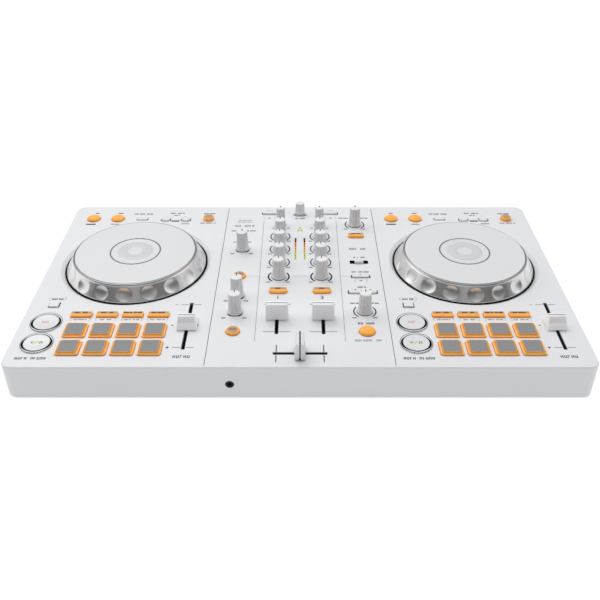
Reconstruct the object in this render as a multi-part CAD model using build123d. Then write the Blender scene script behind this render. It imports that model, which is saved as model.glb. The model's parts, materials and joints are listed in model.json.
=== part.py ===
"""A two-deck DJ controller: a flat white case with two jog wheels and a mixer between them.

Millimetres. +Z is up, +X is the player's right and +Y is the back of the controller.
The origin is on the table, under the middle of the case. Every piece is its own solid.
"""
from build123d import *
import os

# ---- Case ----
CASE_LENGTH = 482.0
CASE_DEPTH = 272.4
CASE_CORNER = 9.0
PANEL_TOP = 39.2
CASE_BOTTOM = 6.7
WALL = 2.5
PANEL_UNDER = PANEL_TOP - WALL
HALF_DEPTH = CASE_DEPTH / 2
SEAM_X = 76.9
SEAM_SIZE = 0.5

# ---- Bottom cover, feet and screws ----
COVER_BOTTOM = 2.0
COVER_FLOOR = COVER_BOTTOM + WALL
COVER_INSET = 8.0
RIM_INSET = WALL + 0.2
RIM_BOTTOM = CASE_BOTTOM + 0.2
RIM_TOP = RIM_BOTTOM + WALL
FOOT_RADIUS = 9.0
FOOT_SPIGOT_RADIUS = 5.0
FOOT_SPOTS = [(x, y) for x in (-200, 0, 200) for y in (-104, 104)]
BOSS_RADIUS = 3.5
PILOT_RADIUS = 1.45
SCREW_RADIUS = 1.4
SCREW_HEAD_RADIUS = 2.9
SCREW_HEAD = 1.4
BOSS_SPOTS = [(x, y) for x in (-224, -79, 79, 224) for y in (-122, 122)] + [(-79, 0), (79, 0)]

# ---- Circuit boards, hung under the panel ----
BOARD_THICKNESS = 1.6
BOARD_TOP = PANEL_UNDER - 7.3
BOARD_BOTTOM = BOARD_TOP - BOARD_THICKNESS
BOARD_POST_RADIUS = 2.5
SOCKET_BOARD_TOP = 13.4

# ---- Decks ----
DECK_X = 157.5
JOG_Y = 21.5
DISH_RADIUS = 71.5
DISH_FLOOR_RADIUS = 68.0
DISH_DEPTH = 2.7
DISH_FLOOR = PANEL_TOP - DISH_DEPTH
JOG_OPENING_RADIUS = 62.0
JOG_SHAFT_RADIUS = 4.0
JOG_SHAFT_SEAT = 20.0
JOG_SHAFT_TOP = 47.0
RUNNING_GAP = 0.05
BASE_RADIUS = 67.7
BASE_BOTTOM = DISH_FLOOR + 0.3
BASE_TOP = BASE_BOTTOM + 0.7
DRUM_RADIUS = 60.0
DRUM_BOTTOM = 26.0
ENCODER_SLOTS = 48
BAND_FOOT_RADIUS = 66.6
BAND_HEAD_RADIUS = 58.5
BAND_HEAD = PANEL_TOP + 11.5
LIP_TOP = PANEL_TOP + 12.5
DIMPLES = 18
DIMPLE_SPHERE = 16.5
DIMPLE_DEPTH = 1.4
PLATTER_RADIUS = 57.0
PLATTER_TOP = PANEL_TOP + 13.0
PLATTER_SEAT = PLATTER_TOP - 3.0
PLATTER_GROOVE_RADIUS = 23.6

# ---- Keys ----
KEY_GAP = 0.3
KEY_FLANGE = 1.2
OPENING_BOTTOM = DISH_FLOOR - 4.0
KEY_SHOULDER = PANEL_TOP + 0.4
SWITCH_PLUNGER = 0.6
SWITCH_PLUNGER_RADIUS = 1.7
FLANGE_TOP = PANEL_UNDER - 0.1
FLANGE_BOTTOM = FLANGE_TOP - 1.0
STEM_RADIUS = 1.5
SWITCH_SIZE = 6.0
SWITCH_TOP = BOARD_TOP + 3.2
STEM_REST_GAP = 0.3
KEY_TRAVEL = 0.5
PAD_TRAVEL = 1.0
BIG_KEY_TRAVEL = 0.7
PAD_PITCH_X = 22.4
PAD_PITCH_Y = 23.7
PAD_BASE = (19.3, 18.9)
PAD_CROWN = (15.4, 15.8)
PAD_ROW_Y = -88.1
MODE_ROW_Y = -65.3
CUE_Y = -76.3
PLAY_Y = -105.0
DECK_EDGE_X = 61.0
BACK_ROW_Y = 108.5
BEZEL_OUTER = 13.8
BEZEL_INNER = 12.0
BEZEL_HEIGHT = 0.8

# ---- Knobs and their potentiometers ----
SHAFT_RADIUS = 2.5
SHAFT_BOTTOM = 33.0
SHAFT_COVER = 5.0
BUSH_RADIUS = 3.6
BUSH_TOP = PANEL_TOP - 0.6
POT_TOP = PANEL_UNDER - 0.5
KNOB_BOTTOM = PANEL_TOP + 0.4
KNOB_TOP = PANEL_TOP + 20.0
POINTER_WIDTH = 0.8
POINTER_DEPTH = 0.3
SKIRT_RADIUS = 6.9
SKIRT_HEIGHT = 1.6
KNOB_FOOT_RADIUS = 6.15
KNOB_HEAD_RADIUS = 5.25
TRIM_FOOT_RADIUS = 4.8
TRIM_HEAD_RADIUS = 4.3
BROWSE_RADIUS = 5.1
BROWSE_TOP = PANEL_TOP + 13.0
CHANNEL_X = 20.0
SIDE_X = 57.0
KNOB_ROWS = {"trim": 96.5, "high": 71.5, "mid": 46.8, "low": 22.0, "filter": -3.5}

# ---- Faders ----
SLOT_WIDTH = 2.8
SLOT_OVERRUN = 3.4
LEVER_LENGTH = 4.0
LEVER_THICKNESS = 1.2
LEVER_TOP = PANEL_TOP + 7.0
CARRIAGE_LENGTH = 7.0
CARRIAGE_WIDTH = 3.6
SLIDE_POT_WIDTH = 9.0
SLIDE_POT_WALL = 2.3
FADER_GAP = 1.0
CAP_BASE = (20.0, 9.2)
CAP_CROWN = (18.6, 6.6)
CAP_HEIGHT = 15.8
TEMPO_BASE = (17.2, 17.6)
TEMPO_LEDGE = (15.6, 9.6)
TEMPO_CROWN = (14.4, 5.0)
TEMPO_HEIGHT = 11.2
TEMPO_Y = -79.8
TEMPO_TRAVEL = 30.0
CHANNEL_FADER_Y = -68.8
CHANNEL_TRAVEL = 20.0
CROSS_Y = -118.2
CROSS_TRAVEL = 19.0

# ---- Slide switch, meter and sockets ----
SWITCH_SPOT = (SIDE_X, 22.1)
SWITCH_SLOT = (17.9, 6.0)
SWITCH_KNOB = (8.2, 5.0)
SWITCH_HEAD = (8.6, 6.8)
METER_X = 4.5
METER_FIRST_Y = 28.0
METER_PITCH = 4.3
METER_SEGMENTS = 10
SEGMENT = (1.9, 3.0)
STATUS_Y = 85.0
SOCKET_Z = 21.0
MIC_X = -190.0
RCA_X = (-150.0, -132.0)
USB_X = -98.0
PHONES_X = -57.0
PHONES_Z = PANEL_TOP - 17.7


# ---- Shape helpers ----

def outline(length, depth, corner, grow=0.0):
    """A plan with rounded corners: a circle, a slot or a rounded rectangle."""
    if corner >= depth / 2 and length == depth:
        return Circle(length / 2 + grow)
    if corner >= depth / 2:
        return SlotOverall(length + 2 * grow, depth + 2 * grow)
    return RectangleRounded(length + 2 * grow, depth + 2 * grow, corner + max(grow, 0))


def prism(sketch, x, y, low, high):
    return Pos(x, y, low) * extrude(sketch, high - low)


def rod(x, y, low, high, radius):
    return prism(Circle(radius), x, y, low, high)


def block(x_range, y_range, low, high):
    length = x_range[1] - x_range[0]
    depth = y_range[1] - y_range[0]
    return prism(Rectangle(length, depth), sum(x_range) / 2, sum(y_range) / 2, low, high)


def rod_along_y(x, z, front, back, radius):
    return Pos(x, front, z) * Rot(-90, 0, 0) * extrude(Circle(radius), back - front)


def frustum(x, y, low, high, base, crown, corner):
    """A tapered block from its base plan up to its smaller crown plan."""
    foot = Plane.XY.offset(low) * RectangleRounded(*base, corner)
    head = Plane.XY.offset(high) * RectangleRounded(*crown, corner)
    return Pos(x, y, 0) * loft([foot, head])


def turned(points):
    """A solid of revolution about Z from a closed (radius, height) outline."""
    profile = make_face(Polyline(*[(r, 0, z) for r, z in points], close=True))
    return revolve(profile, Axis.Z)


def joined(pieces):
    """One fused solid from several."""
    return pieces[0] + pieces[1:]


def group(pieces):
    """Separate solids that share a node."""
    return Compound(children=list(pieces))


# ---- Keys: a cap through the panel, a flange below it and a stem down to its switch ----

class Key:
    def __init__(self, x, y, size, corner, proud, dome=0.0, travel=KEY_TRAVEL, crown=None):
        self.x = x
        self.y = y
        self.size = size
        self.corner = corner
        self.top = PANEL_TOP + proud
        self.dome = dome
        self.travel = travel
        self.crown = crown

    def cap(self):
        shoulder = KEY_SHOULDER if self.crown else self.top
        body = prism(outline(*self.size, self.corner), self.x, self.y, FLANGE_BOTTOM, shoulder)
        if self.crown:
            body += frustum(self.x, self.y, shoulder, self.top, self.size, self.crown, self.corner)
        elif self.dome:
            body = fillet(body.edges().sort_by(Axis.Z)[-1], self.dome)
        flange = prism(outline(*self.size, self.corner, KEY_FLANGE), self.x, self.y,
                       FLANGE_BOTTOM, FLANGE_TOP)
        stem_bottom = SWITCH_TOP + self.travel + STEM_REST_GAP
        return body + flange + rod(self.x, self.y, stem_bottom, FLANGE_BOTTOM, STEM_RADIUS)

    def opening(self):
        return prism(outline(*self.size, self.corner, KEY_GAP), self.x, self.y,
                     OPENING_BOTTOM, PANEL_TOP + 2)

    def switch(self):
        half = SWITCH_SIZE / 2
        body = block((self.x - half, self.x + half), (self.y - half, self.y + half),
                     BOARD_TOP, SWITCH_TOP - SWITCH_PLUNGER)
        return body + rod(self.x, self.y, SWITCH_TOP - SWITCH_PLUNGER, SWITCH_TOP, SWITCH_PLUNGER_RADIUS)


def round_key(x, y, diameter, proud, dome, travel=KEY_TRAVEL):
    return Key(x, y, (diameter, diameter), diameter / 2, proud, dome, travel)


def bar_key(x, y, length, depth, proud, corner=1.2):
    return Key(x, y, (length, depth), corner, proud)


def web(x_range, y_range):
    """A strip of the moulding that joins neighbouring keys under the panel."""
    return block(x_range, y_range, FLANGE_BOTTOM, FLANGE_TOP)


def pad_key(x, y):
    return Key(x, y, PAD_BASE, 2.0, 3.0, travel=PAD_TRAVEL, crown=PAD_CROWN)


def row(x, count, pitch):
    """Centres of a row of evenly spaced pieces about x."""
    return [x + (i - (count - 1) / 2) * pitch for i in range(count)]


def deck_keys(side):
    """Every key of one deck, grouped by the moulding it belongs to."""
    x = side * DECK_X
    pad_rows = (PAD_ROW_Y, PAD_ROW_Y - PAD_PITCH_Y)
    return {
        "pads": [pad_key(px, py) for py in pad_rows for px in row(x + 0.5, 4, PAD_PITCH_X)],
        "mode_keys": [bar_key(px, MODE_ROW_Y, 18.4, 6.8, 2.0) for px in row(x + 0.5, 4, PAD_PITCH_X)],
        "loop_keys": [
            round_key(x - DECK_EDGE_X, BACK_ROW_Y, 13.8, 3.2, 2.2),
            round_key(x - 35.4, BACK_ROW_Y, 13.8, 3.2, 2.2),
            bar_key(x - 9.6, BACK_ROW_Y, 11.0, 5.4, 1.0),
            round_key(x + 15.6, BACK_ROW_Y, 9.4, 1.0, 0.4),
            round_key(x + 36.7, BACK_ROW_Y, 9.4, 1.0, 0.4),
        ],
        "sync_key": [round_key(x + 60.6, BACK_ROW_Y, 11.2, 3.6, 1.2)],
        "shift_key": [bar_key(x - DECK_EDGE_X, -49.4, 8.5, 8.5, 1.4)],
        "cue_key": [round_key(x - DECK_EDGE_X, CUE_Y, 22.2, 1.3, 0.5, BIG_KEY_TRAVEL)],
        "play_key": [round_key(x - DECK_EDGE_X, PLAY_Y, 22.2, 1.3, 0.5, BIG_KEY_TRAVEL)],
    }


def mixer_keys():
    return {
        "load_keys": [bar_key(side * 32.5, 121.0, 14.6, 6.0, 1.8) for side in (-1, 1)],
        "channel_cue_keys": [bar_key(side * CHANNEL_X, -28.2, 16.4, 7.4, 2.4, 3.2) for side in (-1, 1)],
        "mix_assist_keys": [round_key(-SIDE_X, y, 12.0, 2.6, 0.8) for y in (-2.7, -88.8)],
        "master_cue_key": [bar_key(SIDE_X, 71.8, 15.8, 6.2, 2.4, 2.6)],
        "effect_keys": [
            bar_key(SIDE_X, -3.0, 16.0, 5.6, 1.6, 1.6),
            bar_key(50.1, -29.0, 10.8, 6.6, 1.6, 1.6),
            bar_key(64.5, -29.0, 10.8, 6.6, 1.6, 1.6),
        ],
        "effect_on_key": [round_key(SIDE_X, -88.8, 14.0, 3.2, 2.2)],
    }


def moulding_webs(side):
    x = side * DECK_X
    left, right = row(x + 0.5, 4, PAD_PITCH_X)[::3]
    return {
        "pads": [web((left, right), (PAD_ROW_Y - PAD_PITCH_Y - 7, PAD_ROW_Y + 7))],
        "mode_keys": [web((left, right), (MODE_ROW_Y - 1.5, MODE_ROW_Y + 1.5))],
        "loop_keys": [web((x - DECK_EDGE_X, x + 36.7), (BACK_ROW_Y - 1.5, BACK_ROW_Y + 1.5))],
    }


MIXER_WEBS = {
    "load_keys": [web((-32.5, 32.5), (109.0, 111.5)), web((-33.5, -31.5), (109.0, 119.0)),
                  web((31.5, 33.5), (109.0, 119.0))],
    "channel_cue_keys": [web((-CHANNEL_X, CHANNEL_X), (-29.7, -26.7))],
    "mix_assist_keys": [web((-69.0, -66.0), (-90.3, -1.2)), web((-69.0, -SIDE_X), (-4.2, -1.2)),
                        web((-69.0, -SIDE_X), (-90.3, -87.3))],
    "effect_keys": [web((50.1, 64.5), (-30.5, -27.5)), web((55.5, 58.5), (-30.5, -3.0))],
}


def moulding(keys, webs):
    return joined([key.cap() for key in keys] + webs)


# ---- Knobs ----

class Knob:
    def __init__(self, name, x, y, foot=KNOB_FOOT_RADIUS, head=KNOB_HEAD_RADIUS, skirt=SKIRT_RADIUS,
                 top=KNOB_TOP):
        self.name = name
        self.x = x
        self.y = y
        self.foot = foot
        self.head = head
        self.skirt = skirt
        self.top = top

    def solids(self):
        """The cap and, pressed up inside it, the potentiometer's metal shaft."""
        skirt_top = KNOB_BOTTOM + SKIRT_HEIGHT
        edge = 0.6
        cap = turned([(0, KNOB_BOTTOM), (self.skirt, KNOB_BOTTOM), (self.skirt, skirt_top - edge),
                      (self.skirt - edge, skirt_top), (self.foot, skirt_top),
                      (self.head, self.top - edge), (self.head - edge, self.top), (0, self.top)])
        cap -= rod(0, 0, KNOB_BOTTOM - 1, self.top - SHAFT_COVER, SHAFT_RADIUS + RUNNING_GAP)
        half_pointer = POINTER_WIDTH / 2
        cap -= block((-half_pointer, half_pointer), (self.head * 0.35, self.head + 1),
                     self.top - POINTER_DEPTH, self.top + 1)
        shaft = rod(0, 0, SHAFT_BOTTOM, self.top - SHAFT_COVER - 0.2, SHAFT_RADIUS)
        return Pos(self.x, self.y, 0) * group([cap, shaft])

    def pot(self):
        """The potentiometer's fixed body and bush."""
        body = block((self.x - 4.9, self.x + 4.9), (self.y - 5.5, self.y + 5.5), BOARD_TOP, POT_TOP)
        body += rod(self.x, self.y, POT_TOP, BUSH_TOP, BUSH_RADIUS)
        return body - rod(self.x, self.y, SHAFT_BOTTOM - 0.5, BUSH_TOP + 1, SHAFT_RADIUS + RUNNING_GAP)

    def opening(self):
        return rod(self.x, self.y, OPENING_BOTTOM, PANEL_TOP + 2, BUSH_RADIUS + 0.4)


def all_knobs():
    knobs = []
    for channel, side in ((1, -1), (2, 1)):
        for name, y in KNOB_ROWS.items():
            full_name = f"channel_{channel}_{name}_knob"
            if name == "trim":
                knobs.append(Knob(full_name, side * CHANNEL_X, y, TRIM_FOOT_RADIUS, TRIM_HEAD_RADIUS,
                                  TRIM_FOOT_RADIUS + 0.9))
            else:
                knobs.append(Knob(full_name, side * CHANNEL_X, y))
    knobs.append(Knob("microphone_level_knob", -SIDE_X, 47.2))
    knobs.append(Knob("headphone_mix_knob", -SIDE_X, -34.0))
    knobs.append(Knob("headphone_level_knob", -SIDE_X, -60.0))
    knobs.append(Knob("master_level_knob", SIDE_X, 96.2))
    knobs.append(Knob("effect_depth_knob", SIDE_X, -59.6))
    knobs.append(Knob("browse_knob", 0, 121.0, BROWSE_RADIUS, BROWSE_RADIUS - 0.3,
                      BROWSE_RADIUS + 0.4, BROWSE_TOP))
    return knobs


# ---- Faders ----

class Fader:
    """A slide potentiometer under a slot, with a cap on its lever. It slides along Y or along X."""

    def __init__(self, name, x, y, travel, along_x=False, tempo=False):
        self.name = name
        self.place = Pos(x, y, 0) * (Rot(0, 0, 90) if along_x else Rot(0, 0, 0))
        self.travel = travel
        self.tempo = tempo

    def solids(self):
        low = PANEL_TOP + FADER_GAP
        if self.tempo:
            ledge = low + (TEMPO_HEIGHT - FADER_GAP) / 2
            cap = frustum(0, 0, low, ledge, TEMPO_BASE, TEMPO_LEDGE, 0.8)
            cap += frustum(0, 0, ledge, PANEL_TOP + TEMPO_HEIGHT, TEMPO_LEDGE, TEMPO_CROWN, 0.8)
        else:
            cap = frustum(0, 0, low, PANEL_TOP + CAP_HEIGHT, CAP_BASE, CAP_CROWN, 0.8)
        half_x = LEVER_THICKNESS / 2
        half_y = LEVER_LENGTH / 2
        cap -= block((-half_x - 0.1, half_x + 0.1), (-half_y - 0.1, half_y + 0.1), low - 1, LEVER_TOP + 0.1)
        carriage_low = BOARD_TOP + 2.0
        half_width = CARRIAGE_WIDTH / 2
        half_length = CARRIAGE_LENGTH / 2
        lever = block((-half_x, half_x), (-half_y, half_y), carriage_low + 1, LEVER_TOP)
        lever += block((-half_width, half_width), (-half_length, half_length),
                       carriage_low, carriage_low + 2)
        return self.place * group([cap, lever])

    def pot(self):
        reach = self.travel + CARRIAGE_LENGTH / 2 + 0.5
        half = SLIDE_POT_WIDTH / 2
        inner = half - SLIDE_POT_WALL
        body = block((-half, half), (-reach - 3, reach + 3), BOARD_TOP, POT_TOP)
        body -= block((-inner, inner), (-reach, reach), BOARD_TOP + 1.5, POT_TOP + 1)
        return self.place * body

    def opening(self):
        length = 2 * (self.travel + SLOT_OVERRUN)
        slot = block((-SLOT_WIDTH / 2, SLOT_WIDTH / 2), (-length / 2, length / 2),
                     PANEL_UNDER - 2, PANEL_TOP + 2)
        return self.place * slot


FADERS = [
    Fader("tempo_fader_left", DECK_EDGE_X - DECK_X, TEMPO_Y, TEMPO_TRAVEL, tempo=True),
    Fader("tempo_fader_right", DECK_EDGE_X + DECK_X, TEMPO_Y, TEMPO_TRAVEL, tempo=True),
    Fader("channel_1_fader", -CHANNEL_X, CHANNEL_FADER_Y, CHANNEL_TRAVEL),
    Fader("channel_2_fader", CHANNEL_X, CHANNEL_FADER_Y, CHANNEL_TRAVEL),
    Fader("crossfader", 0, CROSS_Y, CROSS_TRAVEL, along_x=True),
]


# ---- Effect channel slide switch ----

def slide_switch_cap():
    x, y = SWITCH_SPOT
    knob = prism(outline(*SWITCH_KNOB, 0.8), x, y, FLANGE_BOTTOM, PANEL_TOP + 1.0)
    knob += prism(outline(*SWITCH_HEAD, 1.0), x, y, PANEL_TOP + 0.4, PANEL_TOP + 2.6)
    shutter = prism(Rectangle(SWITCH_SLOT[0] + 9, SWITCH_SLOT[1] + 1.6), x, y, FLANGE_BOTTOM, FLANGE_TOP)
    return knob + shutter + block((x - 1.2, x + 1.2), (y - 1.2, y + 1.2), POT_TOP - 2.4, FLANGE_BOTTOM)


def slide_switch_body():
    x, y = SWITCH_SPOT
    body = block((x - 9, x + 9), (y - 3.5, y + 3.5), BOARD_TOP, FLANGE_BOTTOM - 0.6)
    return body - block((x - 6.5, x + 6.5), (y - 1.5, y + 1.5), POT_TOP - 2.9, FLANGE_BOTTOM)


# ---- Jog wheels ----

def jog_band_profile():
    """The sloped silver band, its lip and the ledge inside it that carries the platter."""
    return [(BAND_FOOT_RADIUS, BASE_TOP), (BAND_HEAD_RADIUS, BAND_HEAD), (BAND_HEAD_RADIUS - 0.3, LIP_TOP),
            (PLATTER_RADIUS + 0.1, LIP_TOP), (PLATTER_RADIUS + 0.1, PLATTER_SEAT),
            (PLATTER_RADIUS - 2.5, PLATTER_SEAT), (PLATTER_RADIUS - 2.5, PLATTER_SEAT - 1.6),
            (BAND_HEAD_RADIUS - 2.9, PLATTER_SEAT - 1.6), (BAND_FOOT_RADIUS - 3.2, BASE_TOP)]


def dimple_cutter():
    """A sphere that hollows the middle of the band by the dimple's depth."""
    run = BAND_FOOT_RADIUS - BAND_HEAD_RADIUS
    rise = BAND_HEAD - BASE_TOP
    slope = (run ** 2 + rise ** 2) ** 0.5
    standoff = DIMPLE_SPHERE - DIMPLE_DEPTH
    middle_radius = (BAND_FOOT_RADIUS + BAND_HEAD_RADIUS) / 2
    middle_height = (BASE_TOP + BAND_HEAD) / 2
    centre = Pos(middle_radius + standoff * rise / slope, 0, middle_height + standoff * run / slope)
    return centre * Sphere(DIMPLE_SPHERE)


def jog_ring():
    cutter = dimple_cutter()
    dimples = [Rot(0, 0, 360 / DIMPLES * i - 90) * cutter for i in range(DIMPLES)]
    return turned(jog_band_profile()) - dimples


def jog_platter():
    plate = rod(0, 0, PLATTER_SEAT, PLATTER_TOP, PLATTER_RADIUS)
    plate = fillet(plate.edges().sort_by(Axis.Z)[-1], 0.5)
    groove = rod(0, 0, PLATTER_TOP - 0.4, PLATTER_TOP + 1, PLATTER_GROOVE_RADIUS + 0.4)
    return plate - (groove - rod(0, 0, PLATTER_TOP - 1, PLATTER_TOP + 2, PLATTER_GROOVE_RADIUS - 0.4))


def jog_base():
    """The black wheel under the band: hub, web, rim flange and a slotted drum for the sensor."""
    hub_radius = 10.0
    wall = 2.5
    wheel = rod(0, 0, BASE_BOTTOM, BASE_TOP, BASE_RADIUS)
    wheel += rod(0, 0, DRUM_BOTTOM, BASE_TOP, DRUM_RADIUS)
    wheel -= rod(0, 0, DRUM_BOTTOM - 1, BASE_TOP - wall, DRUM_RADIUS - wall)
    wheel += rod(0, 0, DRUM_BOTTOM - 2, PLATTER_SEAT, hub_radius)
    wheel -= rod(0, 0, 0, PLATTER_TOP, JOG_SHAFT_RADIUS + RUNNING_GAP)
    slot = block((DRUM_RADIUS - wall - 1, DRUM_RADIUS + 1), (-1, 1), DRUM_BOTTOM - 1, DRUM_BOTTOM + 4)
    return wheel - [Rot(0, 0, 360 / ENCODER_SLOTS * i) * slot for i in range(ENCODER_SLOTS)]


def jog_shaft(side):
    x = side * DECK_X
    return rod(x, JOG_Y, JOG_SHAFT_SEAT, JOG_SHAFT_SEAT + 2, 12) + rod(
        x, JOG_Y, JOG_SHAFT_SEAT, JOG_SHAFT_TOP, JOG_SHAFT_RADIUS)


# ---- Circuit boards and what is on them ----

def board_posts():
    """Where the boards are screwed up to posts on the panel's underside."""
    posts = [(x, y) for x in (-40, 40) for y in (-100, 60)] + [(0, -60), (0, 5)]
    for side in (-1, 1):
        x = side * DECK_X
        posts += [(x - 71, JOG_Y), (x + 71, JOG_Y), (x, -51.5), (x - 48.2, 113), (x + 48.6, 113)]
    return posts


def circuit_boards():
    """The mixer board, one board round each jog wheel, and the rear socket board."""
    mixer = block((-75.5, 75.5), (-130, 131), BOARD_BOTTOM, BOARD_TOP)
    decks = []
    for side in (-1, 1):
        x = side * DECK_X
        board = block((x - 78.5, x + 78.5), (-130, 118), BOARD_BOTTOM, BOARD_TOP)
        decks.append(board - rod(x, JOG_Y, BOARD_BOTTOM - 1, BOARD_TOP + 1, JOG_OPENING_RADIUS + 1))
    sockets = block((-202, -86), (100, 133), SOCKET_BOARD_TOP - BOARD_THICKNESS, SOCKET_BOARD_TOP)
    holes = [rod(x, y, BOARD_BOTTOM - 1, BOARD_TOP + 1, BOSS_RADIUS + 0.6) for x, y in BOSS_SPOTS]
    holes += [rod(x, y, BOARD_BOTTOM - 1, BOARD_TOP + 1, 1.6) for x, y in board_posts()]
    return group([board - holes for board in [mixer] + decks] + [sockets])


def screw(x, y, seat, length):
    """A pan-head screw driven upwards, with its head below the seat."""
    head = rod(x, y, seat - SCREW_HEAD, seat, SCREW_HEAD_RADIUS)
    cross = block((x - 1.6, x + 1.6), (y - 0.35, y + 0.35), seat - SCREW_HEAD - 1, seat - SCREW_HEAD + 0.7)
    cross += block((x - 0.35, x + 0.35), (y - 1.6, y + 1.6), seat - SCREW_HEAD - 1, seat - SCREW_HEAD + 0.7)
    return head - cross + rod(x, y, seat, seat + length, SCREW_RADIUS)


def case_screws():
    seat = COVER_BOTTOM + SCREW_HEAD + 0.2
    long_screws = [screw(x, y, seat, 11) for x, y in BOSS_SPOTS]
    return group(long_screws + [screw(x, y, BOARD_BOTTOM, 5) for x, y in board_posts()])


def meter_spots():
    spots = [(side * METER_X, METER_FIRST_Y + METER_PITCH * i) for side in (-1, 1)
             for i in range(METER_SEGMENTS)]
    return spots + [(0, STATUS_Y)]


def level_meter():
    """Clear light pipes, one over each lamp of the level meter, and one over the status lamp."""
    return group(prism(Rectangle(*SEGMENT), x, y, BOARD_TOP + 2, PANEL_TOP) for x, y in meter_spots())


# ---- Sockets ----

def rear_sockets():
    """The microphone jack, the pair of phono sockets and the USB port."""
    mic = block((MIC_X - 8, MIC_X + 8), (106, HALF_DEPTH - WALL), SOCKET_BOARD_TOP, SOCKET_Z + 6.4)
    mic += rod_along_y(MIC_X, SOCKET_Z, HALF_DEPTH - WALL, HALF_DEPTH, 5.5)
    mic -= rod_along_y(MIC_X, SOCKET_Z, 109, HALF_DEPTH + 1, 3.25)
    well_floor = HALF_DEPTH - 12.0
    phono = block((RCA_X[0] - 9, RCA_X[1] + 9), (well_floor - 4, HALF_DEPTH - WALL),
                  SOCKET_BOARD_TOP, SOCKET_Z + 7.6)
    shells = []
    for x in RCA_X:
        phono -= rod_along_y(x, SOCKET_Z, well_floor, HALF_DEPTH, 6.8)
        shell = rod_along_y(x, SOCKET_Z, well_floor, HALF_DEPTH, 4.15)
        shells.append(shell - rod_along_y(x, SOCKET_Z, well_floor + 2, HALF_DEPTH + 1, 1.6))
    port_plan = SlotOverall(9.0, 3.3)
    port = Pos(USB_X, 124, SOCKET_BOARD_TOP + 1.7) * Rot(-90, 0, 0) * extrude(port_plan, HALF_DEPTH - 124.4)
    bay = Pos(USB_X, 128, SOCKET_BOARD_TOP + 1.7) * Rot(-90, 0, 0) * extrude(SlotOverall(8.3, 2.6), 12)
    tongue = block((USB_X - 3.3, USB_X + 3.3), (128, HALF_DEPTH - 1.6),
                   SOCKET_BOARD_TOP + 1.35, SOCKET_BOARD_TOP + 2.05)
    return group([mic, phono] + shells + [port - bay + tongue])


def headphone_socket():
    front = -HALF_DEPTH
    body = block((PHONES_X - 6, PHONES_X + 6), (front + WALL, front + 16), PHONES_Z - 5.5, BOARD_BOTTOM)
    body += rod_along_y(PHONES_X, PHONES_Z, front, front + WALL, 3.6)
    return body - rod_along_y(PHONES_X, PHONES_Z, front - 1, front + 14, 1.8)


# ---- Case shells ----

def case_plan(inset):
    return RectangleRounded(CASE_LENGTH - 2 * inset, CASE_DEPTH - 2 * inset, max(CASE_CORNER - inset, 2.0))


def wall_openings():
    """Openings for the sockets in the front and rear walls."""
    back = HALF_DEPTH - WALL - 1
    openings = [rod_along_y(PHONES_X, PHONES_Z, -HALF_DEPTH - 1, -back, 3.7)]
    openings.append(rod_along_y(MIC_X, SOCKET_Z, back, HALF_DEPTH + 1, 5.7))
    openings += [rod_along_y(x, SOCKET_Z, back, HALF_DEPTH + 1, 6.8) for x in RCA_X]
    port = extrude(SlotOverall(9.6, 3.9), WALL + 2)
    openings.append(Pos(USB_X, back, SOCKET_BOARD_TOP + 1.7) * Rot(-90, 0, 0) * port)
    return openings


def top_case(keys, knobs):
    """The top panel and outer walls in one moulding, with a shallow dish for each jog wheel."""
    shell = prism(case_plan(0), 0, 0, CASE_BOTTOM, PANEL_TOP)
    shell = fillet(shell.edges().group_by(Axis.Z)[-1], 1.0)
    shell = chamfer(shell.edges().group_by(Axis.Z)[0], 0.6)
    shell -= prism(case_plan(WALL), 0, 0, CASE_BOTTOM - 1, PANEL_UNDER)
    for side in (-1, 1):
        x = side * DECK_X
        shell += rod(x, JOG_Y, DISH_FLOOR - WALL, PANEL_UNDER, DISH_RADIUS + 3)
        dish = Cone(DISH_FLOOR_RADIUS, DISH_RADIUS, DISH_DEPTH)
        shell -= Pos(x, JOG_Y, DISH_FLOOR + DISH_DEPTH / 2) * dish
        shell -= rod(x, JOG_Y, DISH_FLOOR - WALL - 1, DISH_FLOOR + 1, JOG_OPENING_RADIUS)
        for y in (CUE_Y, PLAY_Y):
            bezel = rod(x - DECK_EDGE_X, y, PANEL_TOP - 0.5, PANEL_TOP + BEZEL_HEIGHT, BEZEL_OUTER)
            shell += chamfer(bezel.edges().sort_by(Axis.Z)[-1], 0.3)
    bosses = [rod(x, y, COVER_FLOOR, PANEL_UNDER + 0.5, BOSS_RADIUS) for x, y in BOSS_SPOTS]
    posts = [rod(x, y, BOARD_TOP, PANEL_UNDER + 0.5, BOARD_POST_RADIUS) for x, y in board_posts()]
    shell += bosses + posts
    cuts = [rod(x, y, COVER_FLOOR - 1, COVER_FLOOR + 14, PILOT_RADIUS) for x, y in BOSS_SPOTS]
    cuts += [rod(x, y, BOARD_TOP - 1, BOARD_TOP + 5, PILOT_RADIUS) for x, y in board_posts()]
    for x, y in meter_spots():
        window = Rectangle(SEGMENT[0] + 0.1, SEGMENT[1] + 0.1)
        cuts.append(prism(window, x, y, PANEL_UNDER - 1, PANEL_TOP + 1))
    x, y = SWITCH_SPOT
    cuts.append(prism(RectangleRounded(*SWITCH_SLOT, 1.0), x, y, PANEL_UNDER - 1, PANEL_TOP + 1))
    for seam in (-SEAM_X, SEAM_X):
        cuts.append(block((seam - SEAM_SIZE / 2, seam + SEAM_SIZE / 2), (-135, 133),
                          PANEL_TOP - SEAM_SIZE, PANEL_TOP + 1))
    cuts += [key.opening() for key in keys]
    cuts += [knob.opening() for knob in knobs]
    cuts += [fader.opening() for fader in FADERS]
    for key in keys:
        if key.travel == BIG_KEY_TRAVEL:
            cuts.append(rod(key.x, key.y, PANEL_TOP - 0.8, PANEL_TOP + 2, BEZEL_INNER))
    return shell - (cuts + wall_openings())


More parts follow.
